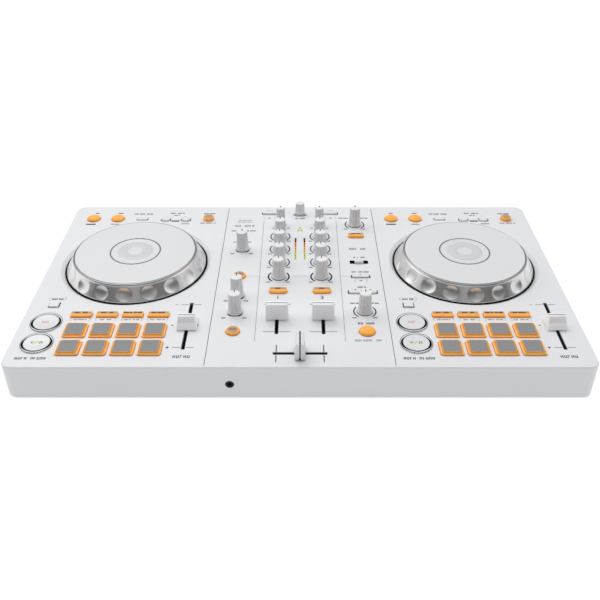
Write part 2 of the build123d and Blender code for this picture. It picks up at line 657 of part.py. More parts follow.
def bottom_cover():
    """The tray that closes the case, with posts for the jog shafts and the rear socket board."""
    tray = prism(case_plan(COVER_INSET), 0, 0, COVER_BOTTOM, RIM_TOP)
    tray = chamfer(tray.edges().group_by(Axis.Z)[0], 1.5)
    tray += prism(case_plan(RIM_INSET), 0, 0, RIM_BOTTOM, RIM_TOP)
    tray -= prism(case_plan(COVER_INSET + WALL), 0, 0, COVER_FLOOR, RIM_TOP + 1)
    for side in (-1, 1):
        tray += rod(side * DECK_X, JOG_Y, COVER_FLOOR - 0.5, JOG_SHAFT_SEAT, 11)
    board_low = SOCKET_BOARD_TOP - BOARD_THICKNESS
    tray += [rod(x, y, COVER_FLOOR - 0.5, board_low, 3) for x in (-198, -90) for y in (104, 122)]
    for x, y in BOSS_SPOTS:
        tray -= rod(x, y, COVER_BOTTOM - 1, COVER_BOTTOM + SCREW_HEAD + 0.2, SCREW_HEAD_RADIUS + 0.2)
        tray -= rod(x, y, COVER_BOTTOM - 1, COVER_FLOOR + 1, SCREW_RADIUS + 0.1)
    for x, y in FOOT_SPOTS:
        tray -= rod(x, y, COVER_BOTTOM - 1, COVER_BOTTOM + 1.3, FOOT_SPIGOT_RADIUS + 0.05)
    return tray


def rubber_feet():
    feet = []
    for x, y in FOOT_SPOTS:
        pad = rod(x, y, 0, COVER_BOTTOM, FOOT_RADIUS)
        pad = fillet(pad.edges().sort_by(Axis.Z)[0], 0.5)
        feet.append(pad + rod(x, y, COVER_BOTTOM, COVER_BOTTOM + 1.2, FOOT_SPIGOT_RADIUS))
    return group(feet)


# ---- The assembly ----

def assembly():
    knobs = all_knobs()
    parts = {}
    all_keys = []
    for side, word in ((-1, "left"), (1, "right")):
        webs = moulding_webs(side)
        for name, keys in deck_keys(side).items():
            parts[f"{name}_{word}"] = moulding(keys, webs.get(name, []))
            all_keys += keys
        place = Pos(side * DECK_X, JOG_Y, 0)
        parts[f"jog_base_{word}"] = place * jog_base()
        parts[f"jog_ring_{word}"] = place * jog_ring()
        parts[f"jog_platter_{word}"] = place * jog_platter()
    for name, keys in mixer_keys().items():
        parts[name] = moulding(keys, MIXER_WEBS.get(name, []))
        all_keys += keys
    for knob in knobs:
        parts[knob.name] = knob.solids()
    for fader in FADERS:
        parts[fader.name] = fader.solids()
    parts["slide_switch"] = slide_switch_cap()
    parts["top_case"] = top_case(all_keys, knobs)
    parts["bottom_cover"] = bottom_cover()
    parts["rubber_feet"] = rubber_feet()
    parts["case_screws"] = case_screws()
    parts["circuit_boards"] = circuit_boards()
    parts["rotary_pots"] = group(knob.pot() for knob in knobs)
    parts["slide_pots"] = group(fader.pot() for fader in FADERS)
    parts["key_switches"] = group([key.switch() for key in all_keys] + [slide_switch_body()])
    parts["level_meter"] = level_meter()
    parts["rear_sockets"] = rear_sockets()
    parts["headphone_socket"] = headphone_socket()
    parts["jog_shafts"] = group(jog_shaft(side) for side in (-1, 1))
    return parts


os.makedirs("parts", exist_ok=True)
for node, shape in assembly().items():
    export_step(shape, f"parts/{node}.step")
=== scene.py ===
"""Looks of a two-deck DJ controller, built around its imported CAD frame.

Layout sizes are in millimetres and become metres in Shape.piece. X is the player's right, Y the
back and Z up. Heights are counted from the top of the panel.
"""
import json
import math

import bpy
import bmesh
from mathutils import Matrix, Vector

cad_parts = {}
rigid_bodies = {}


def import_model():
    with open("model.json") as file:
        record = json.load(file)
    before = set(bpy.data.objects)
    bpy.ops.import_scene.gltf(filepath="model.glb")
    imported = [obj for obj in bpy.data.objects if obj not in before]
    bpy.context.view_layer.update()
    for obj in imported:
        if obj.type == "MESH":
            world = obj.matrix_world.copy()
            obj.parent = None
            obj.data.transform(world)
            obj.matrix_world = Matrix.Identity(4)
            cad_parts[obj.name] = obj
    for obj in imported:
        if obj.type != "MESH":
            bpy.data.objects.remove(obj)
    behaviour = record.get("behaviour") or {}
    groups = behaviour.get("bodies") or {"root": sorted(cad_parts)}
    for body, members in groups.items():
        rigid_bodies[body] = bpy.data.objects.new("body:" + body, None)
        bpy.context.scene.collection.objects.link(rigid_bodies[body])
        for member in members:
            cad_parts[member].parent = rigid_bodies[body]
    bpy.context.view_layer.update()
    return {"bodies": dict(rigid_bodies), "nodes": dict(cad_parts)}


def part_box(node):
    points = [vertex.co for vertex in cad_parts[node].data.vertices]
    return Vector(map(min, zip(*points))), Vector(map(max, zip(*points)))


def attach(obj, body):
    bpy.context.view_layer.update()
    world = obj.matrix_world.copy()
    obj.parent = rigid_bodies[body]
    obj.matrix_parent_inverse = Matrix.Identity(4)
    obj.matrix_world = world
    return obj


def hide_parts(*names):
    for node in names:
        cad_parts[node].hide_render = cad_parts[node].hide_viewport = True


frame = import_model()
NODES = frame["nodes"]

MM = 0.001
BEZEL_HEIGHT = 0.8
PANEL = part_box("top_case")[1].z / MM - BEZEL_HEIGHT
WORDS = ("left", "right")

# Where the rows and columns of the mixer are.
SEAM_X = 76.9
CHANNEL_X = 20.0
SIDE_X = 57.0
LOAD_X = 32.5
BACK_ROW_Y = 121.0
ASSIST_Y = (-2.7, -88.8)
SELECT_Y = -3.0
BEAT_Y = -29.0
BEAT_KEYS = ((50.1, -1), (64.5, 1))

# Places in the back row of a deck, from the middle of its jog wheel.
LOOP_DOME_SPOTS = (-61.0, -35.4)
EXIT_SPOT = -9.6
CALL_SPOTS = (15.6, 36.7)

# Keys: length, depth, corner radius and height. Domes: radius and height.
MODE_KEY = (18.4, 6.8, 0.8, 2.0)
EXIT_KEY = (11.0, 5.4, 1.2, 1.0)
CALL_KEY = (9.4, 9.4, 4.7, 1.0)
SYNC_KEY = (11.2, 11.2, 5.6, 3.1)
SHIFT_KEY = (8.5, 8.5, 1.2, 1.4)
LOAD_KEY = (14.6, 6.0, 1.2, 1.8)
CHANNEL_CUE_KEY = (16.4, 7.4, 3.2, 2.4)
ASSIST_KEY = (12.0, 12.0, 6.0, 2.4)
MASTER_CUE_KEY = (15.8, 6.2, 2.6, 2.4)
SELECT_KEY = (16.0, 5.6, 1.6, 1.6)
BEAT_KEY = (10.8, 6.6, 1.6, 1.6)
LOOP_DOME = (6.9, 3.2)
EFFECT_ON_DOME = (7.0, 3.2)
KEY_ROOT = -2.4
PAD_PITCH_X = 22.4
PAD_PITCH_Y = 23.7
PAD_BASE = (19.3, 18.9)
PAD_CROWN = (15.4, 15.8)
PAD_TOP = 3.0
PAD_HOLLOW = 0.2

# Knobs: radius at the foot, at the head and of the skirt.
KNOB_SIZE = (6.1, 5.25, 6.9)
TRIM_SIZE = (4.75, 4.3, 5.7)
BROWSE_SIZE = (5.05, 4.8, 5.5)
FLUTES = 12

# Fader caps and the lengths of their slots.
CAP_LENGTH = 20.0
CAP_DEPTH = 9.2
CAP_RIBS = 7
TEMPO_SLOT = 66.6
CHANNEL_SLOT = 46.6
CROSSFADER_SLOT = 44.6

# The sloped band of a jog wheel, as (radius, height), and its round hollows.
BAND_FOOT = (66.6, -2.0)
BAND_HEAD = (58.5, 11.5)
DIMPLES = 18
DIMPLE_SPHERE = 16.5
DIMPLE_DEPTH = 1.4
DIMPLE_STRETCH = 1.1

# Print on the panel.
INK_HEIGHT = 0.05
DARK, PALE, BLUE = 0, 1, 2

# The camera and the room, in metres and degrees.
LENS = 45.46
SENSOR = 36.0
CAMERA_AHEAD = 0.6006
CAMERA_ABOVE_PANEL = 0.3890
CAMERA_DIP = 34.85
ROOM_REACH = 6.0
ROOM_HEIGHT = 5.0
FLOOR_GLOW = 0.79
LAMP_SIZE = (0.9, 0.7)
LAMP_SPOT = (-0.55, 0.85, 1.25)
LAMP_TURN = (-34, -22)
LAMP_POWER = 4.4

# Brightness of the room seen in the object's surfaces.
PATCH_RISE = 28
PATCH_GLOW = 0.28
OVERHEAD_GLOW = 1.26
LOW_SIDE_GLOW = 0.95
LOW_BACK_LOSS = 0.55


def middle(node):
    """The middle of a CAD node's plan, in millimetres."""
    low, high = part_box(node)
    return (low.x + high.x) / 2 / MM, (low.y + high.y) / 2 / MM


def height_of(node):
    """How far a CAD node stands above the panel, in millimetres."""
    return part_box(node)[1].z / MM - PANEL


# ---------------------------------------------------------------- materials

def shader(name, colour, roughness, metallic=0.0, tint=0.03, patch=60.0, grain=900.0, bump=0.02,
           coat=0.0, glow=None, glow_strength=0.0, subsurface=0.0, brushed=False, steady=False,
           shine=0.5):
    """A procedural surface: patchy colour and roughness, and a fine moulded or brushed grain."""
    material = bpy.data.materials.new(name)
    material.use_nodes = True
    nodes = material.node_tree.nodes
    links = material.node_tree.links
    principled = nodes["Principled BSDF"]
    place = nodes.new("ShaderNodeTexCoord")
    patches = nodes.new("ShaderNodeTexNoise")
    patches.inputs["Scale"].default_value = patch
    patches.inputs["Detail"].default_value = 3.0
    links.new(place.outputs["Object"], patches.inputs["Vector"])
    blend = nodes.new("ShaderNodeMix")
    blend.data_type = "RGBA"
    links.new(patches.outputs["Fac"], blend.inputs["Factor"])
    blend.inputs["A"].default_value = (*[c * (1 - tint) for c in colour], 1)
    blend.inputs["B"].default_value = (*[min(c * (1 + tint), 1) for c in colour], 1)
    links.new(blend.outputs["Result"], principled.inputs["Base Color"])
    spread = nodes.new("ShaderNodeMapRange")
    spread.inputs["To Min"].default_value = max(roughness - 0.05, 0.02)
    spread.inputs["To Max"].default_value = min(roughness + 0.05, 1.0)
    links.new(patches.outputs["Fac"], spread.inputs["Value"])
    links.new(spread.outputs["Result"], principled.inputs["Roughness"])
    fine = nodes.new("ShaderNodeTexNoise")
    fine.inputs["Scale"].default_value = grain
    fine.inputs["Detail"].default_value = 2.0
    if brushed:
        stretch = nodes.new("ShaderNodeMapping")
        stretch.inputs["Scale"].default_value = (1.0, 1.0, 12.0)
        links.new(place.outputs["Object"], stretch.inputs["Vector"])
        links.new(stretch.outputs["Vector"], fine.inputs["Vector"])
    else:
        links.new(place.outputs["Object"], fine.inputs["Vector"])
    relief = nodes.new("ShaderNodeBump")
    relief.inputs["Strength"].default_value = bump
    relief.inputs["Distance"].default_value = 0.0002
    links.new(fine.outputs["Fac"], relief.inputs["Height"])
    links.new(relief.outputs["Normal"], principled.inputs["Normal"])
    principled.inputs["Metallic"].default_value = metallic
    principled.inputs["Specular IOR Level"].default_value = shine
    principled.inputs["Coat Weight"].default_value = coat
    principled.inputs["Coat Roughness"].default_value = 0.12
    principled.inputs["Subsurface Weight"].default_value = subsurface
    principled.inputs["Subsurface Radius"].default_value = (0.002, 0.0012, 0.0008)
    if glow:
        swing = 0.0 if steady else 0.2
        unevenness = nodes.new("ShaderNodeMapRange")
        unevenness.inputs["To Min"].default_value = glow_strength * (1 - swing)
        unevenness.inputs["To Max"].default_value = glow_strength * (1 + swing)
        links.new(patches.outputs["Fac"], unevenness.inputs["Value"])
        links.new(unevenness.outputs["Result"], principled.inputs["Emission Strength"])
        principled.inputs["Emission Color"].default_value = (*glow, 1)
    return material


WHITE = (0.84, 0.85, 0.875)
AMBER = (1.0, 0.40, 0.03)
CASE = shader("case_plastic", WHITE, 0.42, tint=0.012, patch=25, grain=2600, bump=0.06)
COVER = shader("cover_plastic", (0.72, 0.73, 0.75), 0.55, tint=0.03, patch=30, grain=1500, bump=0.2)
KEY_WHITE = shader("key_plastic", (0.83, 0.835, 0.85), 0.28, coat=0.25, tint=0.015, grain=3000)
KEY_DISC = shader("key_disc_plastic", (0.78, 0.785, 0.81), 0.20, coat=0.2, tint=0.05, patch=130,
                  grain=3000)
KNOB = shader("knob_plastic", (0.82, 0.825, 0.84), 0.28, tint=0.02, patch=120, grain=2500, bump=0.08)
# A lighter copy of the knob plastic for the knob tops: painted light where the overhead light falls.
KNOB_TOP_PAINTED_LIGHT = shader("knob_top_painted_light", (0.90, 0.905, 0.915), 0.3, tint=0.01, patch=120, grain=2500)
# The fader and tempo caps glow faintly white: painted light, since they hold no lamp.
FADER_PAINTED_GLOW = shader("fader_plastic_painted_glow", (0.89, 0.895, 0.91), 0.36, tint=0.02, patch=120, grain=2500, bump=0.06,
               glow=(1, 1, 1), glow_strength=0.10, steady=True)
PLATTER = shader("platter_plastic", (0.80, 0.805, 0.815), 0.34, tint=0.012, patch=20, grain=1800,
                 bump=0.05, coat=0.1)
SILVER = shader("satin_metal_plating", (0.80, 0.80, 0.80), 0.31, metallic=1.0, tint=0.04, patch=45,
                grain=700, bump=0.02)
# A darker copy of the satin plating for the lip round each platter: a painted dark reflection.
LIP_PAINTED_REFLECTION = shader("plating_painted_dark_reflection", (0.36, 0.36, 0.37), 0.30, metallic=1.0, tint=0.05, patch=45,
                  grain=700, bump=0.02)
# Black plastic for the dark parts, also used as painted shade on the lower side of the cue and play
# discs.
BLACK_AND_SHADE = shader("black_plastic_and_painted_shade", (0.012, 0.012, 0.013), 0.5, tint=0.2, grain=1400, bump=0.1, shine=0.25)
# Matt black for painted shade: in the openings round keys, in the slit round the cue and play discs, in
# the switch window and on the jog bases.
SHADE_BLACK = shader("painted_shade_black", (0.004, 0.004, 0.004), 0.9, tint=0.3, grain=1400, bump=0.1,
                    shine=0.05)
# Black felt for the fader slots, also laid along the slot edges as painted shade.
FELT_AND_EDGE_SHADE = shader("black_felt_and_painted_edge_shade", (0.006, 0.006, 0.007), 0.95, tint=0.4, patch=900, grain=5000, bump=0.6)
RUBBER = shader("foot_rubber", (0.03, 0.03, 0.032), 0.8, tint=0.2, grain=1200, bump=0.3)
STEEL = shader("plated_steel", (0.55, 0.55, 0.56), 0.3, metallic=1.0, tint=0.06, brushed=True, bump=0.2)
BOARD = shader("board_lacquer", (0.012, 0.075, 0.035), 0.35, tint=0.25, patch=350, coat=0.3)
SILICONE = shader("pad_silicone", (0.27, 0.275, 0.28), 0.62, tint=0.05, patch=500, grain=4200, bump=0.12)
GLOW = shader("amber_silicone", (0.92, 0.40, 0.06), 0.48, tint=0.12, patch=260, grain=3000,
              glow=AMBER, glow_strength=0.20, subsurface=0.15)
# A dimmer, darker copy of the lit amber: painted shade on the skirts of amber keys and the feet of domes
# and pads.
SHADED_GLOW = shader("amber_silicone_painted_shade", (0.70, 0.25, 0.03), 0.45, tint=0.12, patch=260, grain=3000,
                   glow=AMBER, glow_strength=0.08, subsurface=0.15)
# A brown copy of the lit amber: painted shade on the upper slope of the pads and round their grey tops.
BROWN_SHADED_GLOW = shader("amber_silicone_painted_brown_shade", (0.42, 0.17, 0.08), 0.45, tint=0.12, patch=260, grain=3000,
                    glow=AMBER, glow_strength=0.02)
# A pale copy of the lit amber: a painted highlight on the shoulder of the pads.
HIGHLIGHT_GLOW = shader("amber_silicone_painted_highlight", (0.92, 0.62, 0.28), 0.35, tint=0.08, patch=260, grain=3000,
                   glow=AMBER, glow_strength=0.12)
GREY_AMBER = shader("grey_amber_silicone", (0.46, 0.31, 0.20), 0.5, tint=0.08, patch=260, grain=3000,
                    glow=AMBER, glow_strength=0.04)
# Print ink, also used for painted shade along key fronts, round knob skirts, round the bezels and in the
# seams.
INK_AND_SHADE = shader("print_ink_and_painted_shade", (0.03, 0.03, 0.034), 0.7, tint=0.15, patch=400, shine=0.1)
PALE_INK = shader("pale_print_ink", (0.24, 0.24, 0.26), 0.6, tint=0.1, patch=400, shine=0.2)
BLUE_INK = shader("blue_print_ink", (0.16, 0.27, 0.36), 0.6, tint=0.1, patch=400)
GREEN = shader("green_lamp", (0.38, 0.50, 0.015), 0.5, tint=0.1, shine=0.1,
               glow=(0.62, 0.85, 0.03), glow_strength=0.30)
YELLOW = shader("yellow_lamp", (0.62, 0.36, 0.015), 0.5, tint=0.1, shine=0.1,
                glow=(1.0, 0.60, 0.03), glow_strength=0.28)
ORANGE = shader("orange_lamp", (0.62, 0.09, 0.01), 0.5, tint=0.1, shine=0.1,
                glow=(1.0, 0.17, 0.02), glow_strength=0.28)
RED = shader("red_lamp", (0.11, 0.006, 0.005), 0.6, tint=0.15, shine=0.05,
             glow=(0.35, 0.01, 0.01), glow_strength=0.05)
GREEN_GLYPH = shader("green_glyph", (0.16, 0.22, 0.08), 0.4, tint=0.1, glow=(0.55, 0.8, 0.2),
                     glow_strength=0.05)
AMBER_GLYPH = shader("amber_glyph", (0.55, 0.33, 0.22), 0.4, tint=0.1, glow=AMBER, glow_strength=0.06)
HALO = shader("lit_key_halo", (0.66, 0.74, 0.42), 0.3, tint=0.03, glow=(0.5, 0.8, 0.2),
              glow_strength=0.03)
CENTRE = shader("platter_centre", (0.69, 0.695, 0.705), 0.3, tint=0.02, patch=40, grain=1800, bump=0.05)


# ---------------------------------------------------------------- mesh building

def outline(x, y, z, length, depth, corner, steps=10):
    """A rounded rectangle, or a circle when the corner is half of both sides."""
    corner = min(corner, length / 2, depth / 2)
    points = []
    for quarter, (sx, sy) in enumerate(((1, 1), (-1, 1), (-1, -1), (1, -1))):
        cx = x + sx * (length / 2 - corner)
        cy = y + sy * (depth / 2 - corner)
        for i in range(steps + 1):
            angle = math.pi / 2 * (quarter + i / steps)
            points.append((cx + corner * math.cos(angle), cy + corner * math.sin(angle), z))
    return points


def circle(x, y, z, radius, count=96, ripple=None):
    """A circle of points. ripple(angle) is how far a point comes in from the radius."""
    points = []
    for i in range(count):
        angle = 2 * math.pi * i / count
        r = radius - (ripple(angle) if ripple else 0)
        points.append((x + r * math.cos(angle), y + r * math.sin(angle), z))
    return points


class Shape:
    """Closed forms in millimetres above the panel, gathered into one piece."""

    def __init__(self):
        self.points = []
        self.faces = []
        self.slots = []

    def loft(self, loops, slots, closed=False):
        """Joins loops in order. slots[i] is the material of the band above loop i.

        An open loft is capped at both ends; a closed one joins its last loop to its first.
        """
        start = len(self.points)
        count = len(loops[0])
        for loop in loops:
            self.points += loop
        bands = len(loops) if closed else len(loops) - 1
        for band in range(bands):
            low = start + band * count
            high = start + (band + 1) % len(loops) * count
            for i in range(count):
                j = (i + 1) % count
                self.faces.append((low + i, low + j, high + j, high + i))
                self.slots.append(slots[min(band, len(slots) - 1)])
        if not closed:
            self.faces.append(tuple(start + i for i in reversed(range(count))))
            self.slots.append(slots[0])
            self.faces.append(tuple(start + bands * count + i for i in range(count)))
            self.slots.append(slots[-1])

    def block(self, x, y, length, depth, low, high, slot=0, turn=0.0):
        """A plain thin block, for lines, ticks and shields."""
        c, s = math.cos(turn), math.sin(turn)
        corners = [(dx * length / 2, dy * depth / 2) for dx, dy in ((-1, -1), (1, -1), (1, 1), (-1, 1))]
        plan = [(x + a * c - b * s, y + a * s + b * c) for a, b in corners]
        self.loft([[(px, py, low) for px, py in plan], [(px, py, high) for px, py in plan]], [slot])

    def arc(self, x, y, radius, width, start, end, low, high, slot=0, taper=False):
        """A curved bar about (x, y), from one angle to another in degrees, or a crescent."""
        steps = max(int(abs(end - start) / 5), 2)
        inner = radius - width / 2
        loops = []
        for i in range(steps + 1):
            angle = math.radians(start + (end - start) * i / steps)
            c, s = math.cos(angle), math.sin(angle)
            outer = inner + width * (0.05 + 0.95 * math.sin(math.pi * i / steps) if taper else 1)
            loops.append([(x + r * c, y + r * s, z) for r, z in (
                (inner, low), (outer, low), (outer, high), (inner, high))])
        self.loft(loops, [slot])

    def letters(self, text, x, y, size, slot=0, low=0.0):
        """Generic lettering in the built-in font, as thin raised ink centred on (x, y)."""
        curve = bpy.data.curves.new("letters", "FONT")
        curve.body = text
        curve.size = size
        curve.offset = size * 0.012
        curve.align_x = "CENTER"
        curve.align_y = "CENTER"
        curve.extrude = INK_HEIGHT / 2
        holder = bpy.data.objects.new("letters", curve)
        bpy.context.scene.collection.objects.link(holder)
        depsgraph = bpy.context.evaluated_depsgraph_get()
        mesh = bpy.data.meshes.new_from_object(holder.evaluated_get(depsgraph))
        start = len(self.points)
        for vertex in mesh.vertices:
            px, py, pz = vertex.co
            self.points.append((x + px, y + py, low + pz + INK_HEIGHT / 2))
        for polygon in mesh.polygons:
            self.faces.append(tuple(start + i for i in polygon.vertices))
            self.slots.append(slot)
        bpy.data.objects.remove(holder)
        bpy.data.curves.remove(curve)
        bpy.data.meshes.remove(mesh)

    def piece(self, name, body, materials, replaces=(), sharp=40):
        """Makes the Blender object, sets its materials and ties it to its CAD body."""
        mesh = bpy.data.meshes.new(name)
        mesh.from_pydata([(x * MM, y * MM, (z + PANEL) * MM) for x, y, z in self.points], [], self.faces)
        for material in materials:
            mesh.materials.append(material)
        mesh.polygons.foreach_set("material_index", self.slots)
        tidy = bmesh.new()
        tidy.from_mesh(mesh)
        bmesh.ops.remove_doubles(tidy, verts=tidy.verts, dist=0.000002)
        bmesh.ops.recalc_face_normals(tidy, faces=tidy.faces)
        tidy.to_mesh(mesh)
        tidy.free()
        mesh.shade_smooth()
        mesh.set_sharp_from_angle(angle=math.radians(sharp))
        made = bpy.data.objects.new(name, mesh)
        bpy.context.scene.collection.objects.link(made)
        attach(made, body)
        if replaces:
            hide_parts(*replaces)
        return made


# ---------------------------------------------------------------- keys

# The second material is painted shade on the skirts of the amber keys.
AMBER_KEY = [GLOW, SHADED_GLOW, GREY_AMBER, INK_AND_SHADE]


def words(shape, counts, x, y, height, slot=0, low=0.0):
    """A row of made-up characters that stands for printed words of these lengths."""
    pitch = height * 0.86
    total = (sum(counts) + len(counts) - 1) * pitch
    left = x - total / 2 + pitch / 2
    stroke = min(height * 0.27, 0.62)
    column = 0
    for count in counts:
        for _ in range(count):
            cx = left + column * pitch
            level = ((column * 5 + 1) % 3 - 1) * (height - stroke) / 2
            shape.block(cx - height * 0.22, y, stroke, height, low, low + INK_HEIGHT, slot)
            shape.block(cx, y + level, height * 0.44 - stroke, stroke, low, low + INK_HEIGHT, slot)
            if column % 4 != 2:
                shape.block(cx + height * 0.22, y, stroke, height, low, low + INK_HEIGHT, slot)
            column += 1
        column += 1


def rounded_key(shape, x, y, length, depth, corner, top, edge, crown=0.0, slots=(1, 0, 0)):
    """A key with a skirt in slots[0], sides in slots[1] and a top in slots[2]."""
    skirt, side, face = slots
    loops = [outline(x, y, z, length, depth, corner) for z in (KEY_ROOT, 0.45, top - edge)]
    bands = [skirt, side]
    for i in range(1, 5):
        angle = math.pi / 2 * i / 4
        inset = edge * (1 - math.cos(angle))
        loops.append(outline(x, y, top - edge + edge * math.sin(angle), length - 2 * inset,
                             depth - 2 * inset, corner - inset * 0.6))
        bands.append(side)
    for i in range(1, 5):
        share = 1 - i / 5
        rise = crown * (1 - share ** 2)
        loops.append(outline(x, y, top + rise, (length - 2 * edge) * share, (depth - 2 * edge) * share,
                             (corner - edge * 0.6) * share))
        bands.append(face)
    shape.loft(loops, bands)


def paint_gap_shade(shape, x, y, key, side):
    """Painted shade round a key: dark strips at its ends and a thin dark line along its front."""
    length, depth = key[:2]
    for end in (-1, 1):
        shape.block(x + end * (length + side) / 2, y - depth * 0.06, side, depth * 0.88, 0, INK_HEIGHT)
    shape.block(x, y - depth / 2 - 0.14, length, 0.28, 0, INK_HEIGHT, 1)


def dome(shape, x, y, radius, top):
    """A round amber key whose top is a low dome, with painted shade on its foot."""
    loops = [circle(x, y, z, radius, 64) for z in (KEY_ROOT, 0.3, 0.7)]
    bands = [1, 1]
    for i in range(1, 9):
        angle = math.pi / 2 * i / 9
        height = 0.7 + (top - 0.7) * math.sin(angle)
        loops.append(circle(x, y, height, radius * math.cos(angle) ** 0.8, 64))
        bands.append(0)
    shape.loft(loops, bands)


def pad(shape, x, y):
    """A performance pad: a lit foot, sloped sides and an inset grey top, with painted shade low on the
    foot, on the upper slope and round the top, and a painted highlight on the shoulder.
    """
    # Slot 2 is painted shade low on the foot, slot 4 a painted highlight on the shoulder and slot 3
    # painted shade on the upper slope and round the grey top.
    stages = [(KEY_ROOT, 0.0, 1), (0.5, 0.0, 2), (1.25, 0.1, 1), (1.45, 0.3, 4), (1.55, 1.2, 4),
              (2.0, 1.7, 1), (2.6, 2.6, 1), (2.85, 3.1, 3), (PAD_TOP, 3.5, 3)]
    loops = []
    for z, inset, _ in stages:
        loops.append(outline(x, y, z, PAD_BASE[0] - inset * 1.1, PAD_BASE[1] - inset * 0.9,
                             2.0 - inset * 0.15))
    bands = [slot for _, _, slot in stages[1:]]
    for rim, slot in ((0.7, 1), (1.3, 3)):
        loops.append(outline(x, y, PAD_TOP, PAD_CROWN[0] - rim, PAD_CROWN[1] - rim, 1.4))
        bands.append(slot)
    for i in range(1, 6):
        share = 1 - i / 6
        loops.append(outline(x, y, PAD_TOP - PAD_HOLLOW * (1 - share ** 2),
                             (PAD_CROWN[0] - 1.3) * share, (PAD_CROWN[1] - 1.3) * share, 1.4 * share))
        bands.append(0)
    shape.loft(loops, bands)


def spread(x, count, pitch):
    """Centres of a row of evenly spaced pieces about x."""
    return [x + (i - (count - 1) / 2) * pitch for i in range(count)]


def lettered_key(shape, x, y, length, depth, corner, top, counts):
    """An amber key with a browner strip of small characters along the back half of its top."""
    rounded_key(shape, x, y, length, depth, corner, top, 0.35)
    shape.block(x, y + depth * 0.21, length - 1.6, depth * 0.46, top - 0.1, top + 0.04, 2)
    words(shape, counts, x, y + depth * 0.21, depth * 0.3, 3, top + 0.04)


def deck_keys(word, shade_marks):
    """Every key of one deck. Their places come from the deck's middle and the CAD nodes."""
    jog_x = middle(f"jog_platter_{word}")[0]
    pads = Shape()
    pad_x, pad_y = middle(f"pads_{word}")
    for y in (pad_y + PAD_PITCH_Y / 2, pad_y - PAD_PITCH_Y / 2):
        for x in spread(pad_x, 4, PAD_PITCH_X):
            pad(pads, x, y)
    pads.piece(f"pads_{word}_silicone", f"pads_{word}",
               [SILICONE, GLOW, SHADED_GLOW, BROWN_SHADED_GLOW, HIGHLIGHT_GLOW], [f"pads_{word}"])

    modes = Shape()
    mode_x, mode_y = middle(f"mode_keys_{word}")
    for x, counts in zip(spread(mode_x, 4, PAD_PITCH_X), ((3, 3), (3, 2), (4, 4), (7,))):
        lettered_key(modes, x, mode_y, *MODE_KEY, counts)
    modes.piece(f"mode_keys_{word}_caps", f"mode_keys_{word}", AMBER_KEY,
                [f"mode_keys_{word}"])

    loops = Shape()
    row_y = middle(f"loop_keys_{word}")[1]
    for offset in LOOP_DOME_SPOTS:
        dome(loops, jog_x + offset, row_y, *LOOP_DOME)
    rounded_key(loops, jog_x + EXIT_SPOT, row_y, *EXIT_KEY, 0.4, slots=(2, 2, 2))
    paint_gap_shade(shade_marks, jog_x + EXIT_SPOT, row_y, EXIT_KEY, 0.6)
    for offset in CALL_SPOTS:
        rounded_key(loops, jog_x + offset, row_y, *CALL_KEY, 0.4, slots=(2, 2, 2))
        # Dark arcs at both sides of each call key are painted shade.
        for start, end in ((172, 218), (322, 368)):
            shade_marks.arc(jog_x + offset, row_y, 5.05, 0.6, start, end, 0, INK_HEIGHT)
    loops.piece(f"loop_keys_{word}_caps", f"loop_keys_{word}", [GLOW, SHADED_GLOW, KEY_WHITE],
                [f"loop_keys_{word}"])

    sync = Shape()
    rounded_key(sync, *middle(f"sync_key_{word}"), *SYNC_KEY, 1.2, 0.4, slots=(1, 0, 2))
    sync.piece(f"sync_key_{word}_cap", f"sync_key_{word}", AMBER_KEY, [f"sync_key_{word}"])

    shift = Shape()
    shift_x, shift_y = middle(f"shift_key_{word}")
    rounded_key(shift, shift_x, shift_y, *SHIFT_KEY, 0.4, slots=(0, 0, 0))
    shift.piece(f"shift_key_{word}_cap", f"shift_key_{word}", [KEY_WHITE],
                [f"shift_key_{word}"])
    paint_gap_shade(shade_marks, shift_x, shift_y, SHIFT_KEY, 0.8)
    for name in ("cue_key", "play_key"):
        big_key(f"{name}_{word}", name == "play_key", shade_marks)


def ring(shape, x, y, inner, outer, low, high, slot=0):
    """A flat ring with square edges."""
    shape.loft([circle(x, y, low, inner), circle(x, y, low, outer), circle(x, y, high, outer),
                circle(x, y, high, inner)], [slot], closed=True)


def big_key(node, is_play, shade_marks):
    """A cue or play key: a nearly flush white disc with a faintly lit sign, in a ring of painted shade.
    """
    x, y = middle(node)
    key = Shape()
    profile = [(11.0, KEY_ROOT), (11.0, 0.4), (11.0, 0.85), (10.9, 1.1), (10.6, 1.26), (10.1, 1.3),
               (8.6, 1.22), (6.6, 1.12), (4.2, 1.06), (2.0, 1.04), (0.6, 1.04)]
    # The lower side of the disc takes the black as painted shade.
    key.loft([circle(x, y, z, r, 96) for r, z in profile], [1, 1, 0])
    sign = 1.04
    if is_play:
        key.loft([[(x - 4.9, y - 1.3, z), (x - 2.7, y, z), (x - 4.9, y + 1.3, z)]
                  for z in (sign, sign + 0.12)], [2])
        for offset in (2.8, 4.5):
            key.block(x + offset, y, 0.9, 2.6, sign, sign + 0.12, 2)
        key.block(x - 0.2, y, 0.4, 3.2, sign, sign + 0.12, 2, turn=math.radians(-20))
        halo = 3
    else:
        words(key, (3,), x, y, 3.0, 2, sign)
        halo = 0
    for offset in (-3.7, 3.7):
        key.loft([circle(x + offset, y, z, 2.6, 32) for z in (sign - 0.04, sign + 0.02)], [halo])
    key.piece(f"{node}_cap", node, [KEY_DISC, BLACK_AND_SHADE, GREEN_GLYPH if is_play else AMBER_GLYPH, HALO],
              [node])
    # A black ring in the slit round the disc, a dark outline round the bezel and two tapered crescents
    # on the bezel are painted shade.
    ring(shade_marks, x, y, 11.1, 11.97, -0.7, 0.4)
    ring(shade_marks, x, y, 13.2, 13.65, 0.7, 0.8 + INK_HEIGHT, 1)
    for start, end in ((140, 240), (300, 400)):
        shade_marks.arc(x, y, 12.35, 1.1, start, end, 0.7, 0.8 + INK_HEIGHT, taper=True)


